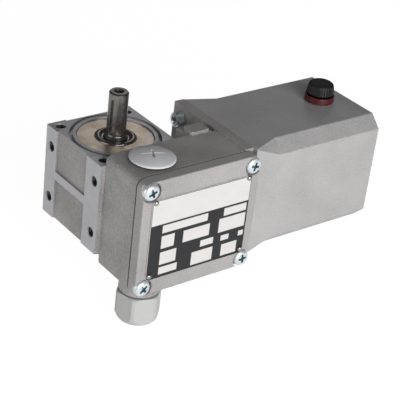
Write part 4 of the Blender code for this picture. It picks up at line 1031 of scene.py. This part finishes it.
class GEARMOTOR_OT_stage(bpy.types.Operator):
    """Sets up the floor, the lights, the white background and the camera"""

    bl_idname = "gearmotor.stage"
    bl_label = "Stage"

    def execute(self, context):
        scene = context.scene
        scene.view_settings.view_transform = "Standard"
        self.floor()
        self.background(scene)
        self.lights()
        self.camera(scene)
        return {"FINISHED"}

    def floor(self):
        bm = bmesh.new()
        bmesh.ops.create_grid(bm, x_segments=1, y_segments=1, size=6.0)
        bmesh.ops.translate(bm, verts=bm.verts, vec=(0, 0, cad_box[0].z - 0.2 * mm))
        floor = form("floor", bm)
        look, tree, shader = start_finish("floor_white", (0.9, 0.9, 0.9), 0.8, 0.0)
        rays = new_node(tree, "LightPath").outputs
        glow = new_node(tree, "Emission", {"Strength": 1.08}).outputs["Emission"]
        seen = new_node(tree, "Math", {0: rays["Is Glossy Ray"], 1: 0.55, 2: rays["Is Camera Ray"]},
                        operation="MULTIPLY_ADD").outputs["Value"]
        mix = new_node(tree, "MixShader", {"Fac": between(tree, seen, 0.0, 0.9), 1: shader.outputs["BSDF"],
                                           2: glow})
        tree.links.new(mix.outputs["Shader"], tree.nodes["Material Output"].inputs["Surface"])
        floor.data.materials.append(look)

    def background(self, scene):
        world = bpy.data.worlds.new("studio")
        scene.world = world
        world.use_nodes = True
        tree = world.node_tree
        tree.nodes.clear()
        rays = new_node(tree, "LightPath").outputs
        seen = new_node(tree, "Math", {0: rays["Is Camera Ray"], 1: rays["Is Transmission Ray"]},
                        operation="MAXIMUM")
        white = new_node(tree, "Background", {"Strength": 1.0, "Color": (1.0, 1.0, 1.0, 1.0)})
        room = new_node(tree, "Background", {"Strength": 0.05, "Color": (0.98, 0.99, 1.0, 1.0)})
        mix = new_node(tree, "MixShader", {"Fac": seen.outputs["Value"], 1: room.outputs["Background"],
                                           2: white.outputs["Background"]})
        new_node(tree, "OutputWorld", {"Surface": mix.outputs["Shader"]})

    def lights(self):
        target = Vector((20 * mm, -20 * mm, 20 * mm))
        for name, position, size, power in (
                ("front_softbox", (-0.10, -1.08, 0.25), 0.9, 15.5),
                ("left_softbox", (-1.00, 0.10, 0.15), 0.8, 3.5),
                ("back_softbox", (0.70, 0.76, 0.60), 0.45, 0.42)):
            lamp = bpy.data.lights.new(name, "AREA")
            lamp.shape = "SQUARE"
            lamp.size = size
            lamp.energy = power
            light = bpy.data.objects.new(name, lamp)
            bpy.context.scene.collection.objects.link(light)
            light.location = position
            light.rotation_euler = (target - Vector(position)).to_track_quat("-Z", "Y").to_euler()

    def camera(self, scene):
        data = bpy.data.cameras.new("camera")
        data.sensor_width = 36.0
        data.lens = 118.1
        data.clip_start = 0.05
        data.clip_end = 20.0
        eye = bpy.data.objects.new("camera", data)
        scene.collection.objects.link(eye)
        right = Vector((0.7975, -0.5940, 0.1061))
        up = Vector((0.2212, 0.4514, 0.8645))
        back = Vector((-0.5614, -0.6659, 0.4914))
        turn = Matrix((right, up, back)).transposed().to_4x4()
        eye.matrix_world = Matrix.Translation((-0.30985, -0.43199, 0.31573)) @ turn
        scene.camera = eye


class GEARMOTOR_PT_panel(bpy.types.Panel):
    """Lists the pieces of the gear motor"""

    bl_label = "Gear Motor"
    bl_idname = "GEARMOTOR_PT_panel"
    bl_space_type = "VIEW_3D"
    bl_region_type = "UI"
    bl_category = "Gear Motor"

    def draw(self, context):
        for operator in operators:
            self.layout.operator(operator.bl_idname)
        for group in (context.scene.motor_sizes, context.scene.motor_colours):
            column = self.layout.column()
            for name in group.bl_rna.properties.keys():
                if name not in ("rna_type", "name"):
                    column.prop(group, name)


operators = [GEARMOTOR_OT_casting, GEARMOTOR_OT_shaft, GEARMOTOR_OT_cover, GEARMOTOR_OT_nameplate,
             GEARMOTOR_OT_screws, GEARMOTOR_OT_housing, GEARMOTOR_OT_brush_gear, GEARMOTOR_OT_plug,
             GEARMOTOR_OT_gland, GEARMOTOR_OT_inner_works, GEARMOTOR_OT_stage]
classes = [MotorSizes, MotorColours, *operators, GEARMOTOR_PT_panel]


def register():
    for item in classes:
        bpy.utils.register_class(item)
    bpy.types.Scene.motor_sizes = bpy.props.PointerProperty(type=MotorSizes)
    bpy.types.Scene.motor_colours = bpy.props.PointerProperty(type=MotorColours)


def unregister():
    del bpy.types.Scene.motor_colours
    del bpy.types.Scene.motor_sizes
    for item in reversed(classes):
        bpy.utils.unregister_class(item)


def main():
    register()
    bpy.ops.gearmotor.casting()
    bpy.ops.gearmotor.shaft()
    bpy.ops.gearmotor.cover()
    bpy.ops.gearmotor.nameplate()
    bpy.ops.gearmotor.screws()
    bpy.ops.gearmotor.housing()
    bpy.ops.gearmotor.brush_gear()
    bpy.ops.gearmotor.plug()
    bpy.ops.gearmotor.gland()
    bpy.ops.gearmotor.inner_works()
    bpy.ops.gearmotor.stage()


if __name__ == "__main__":
    main()
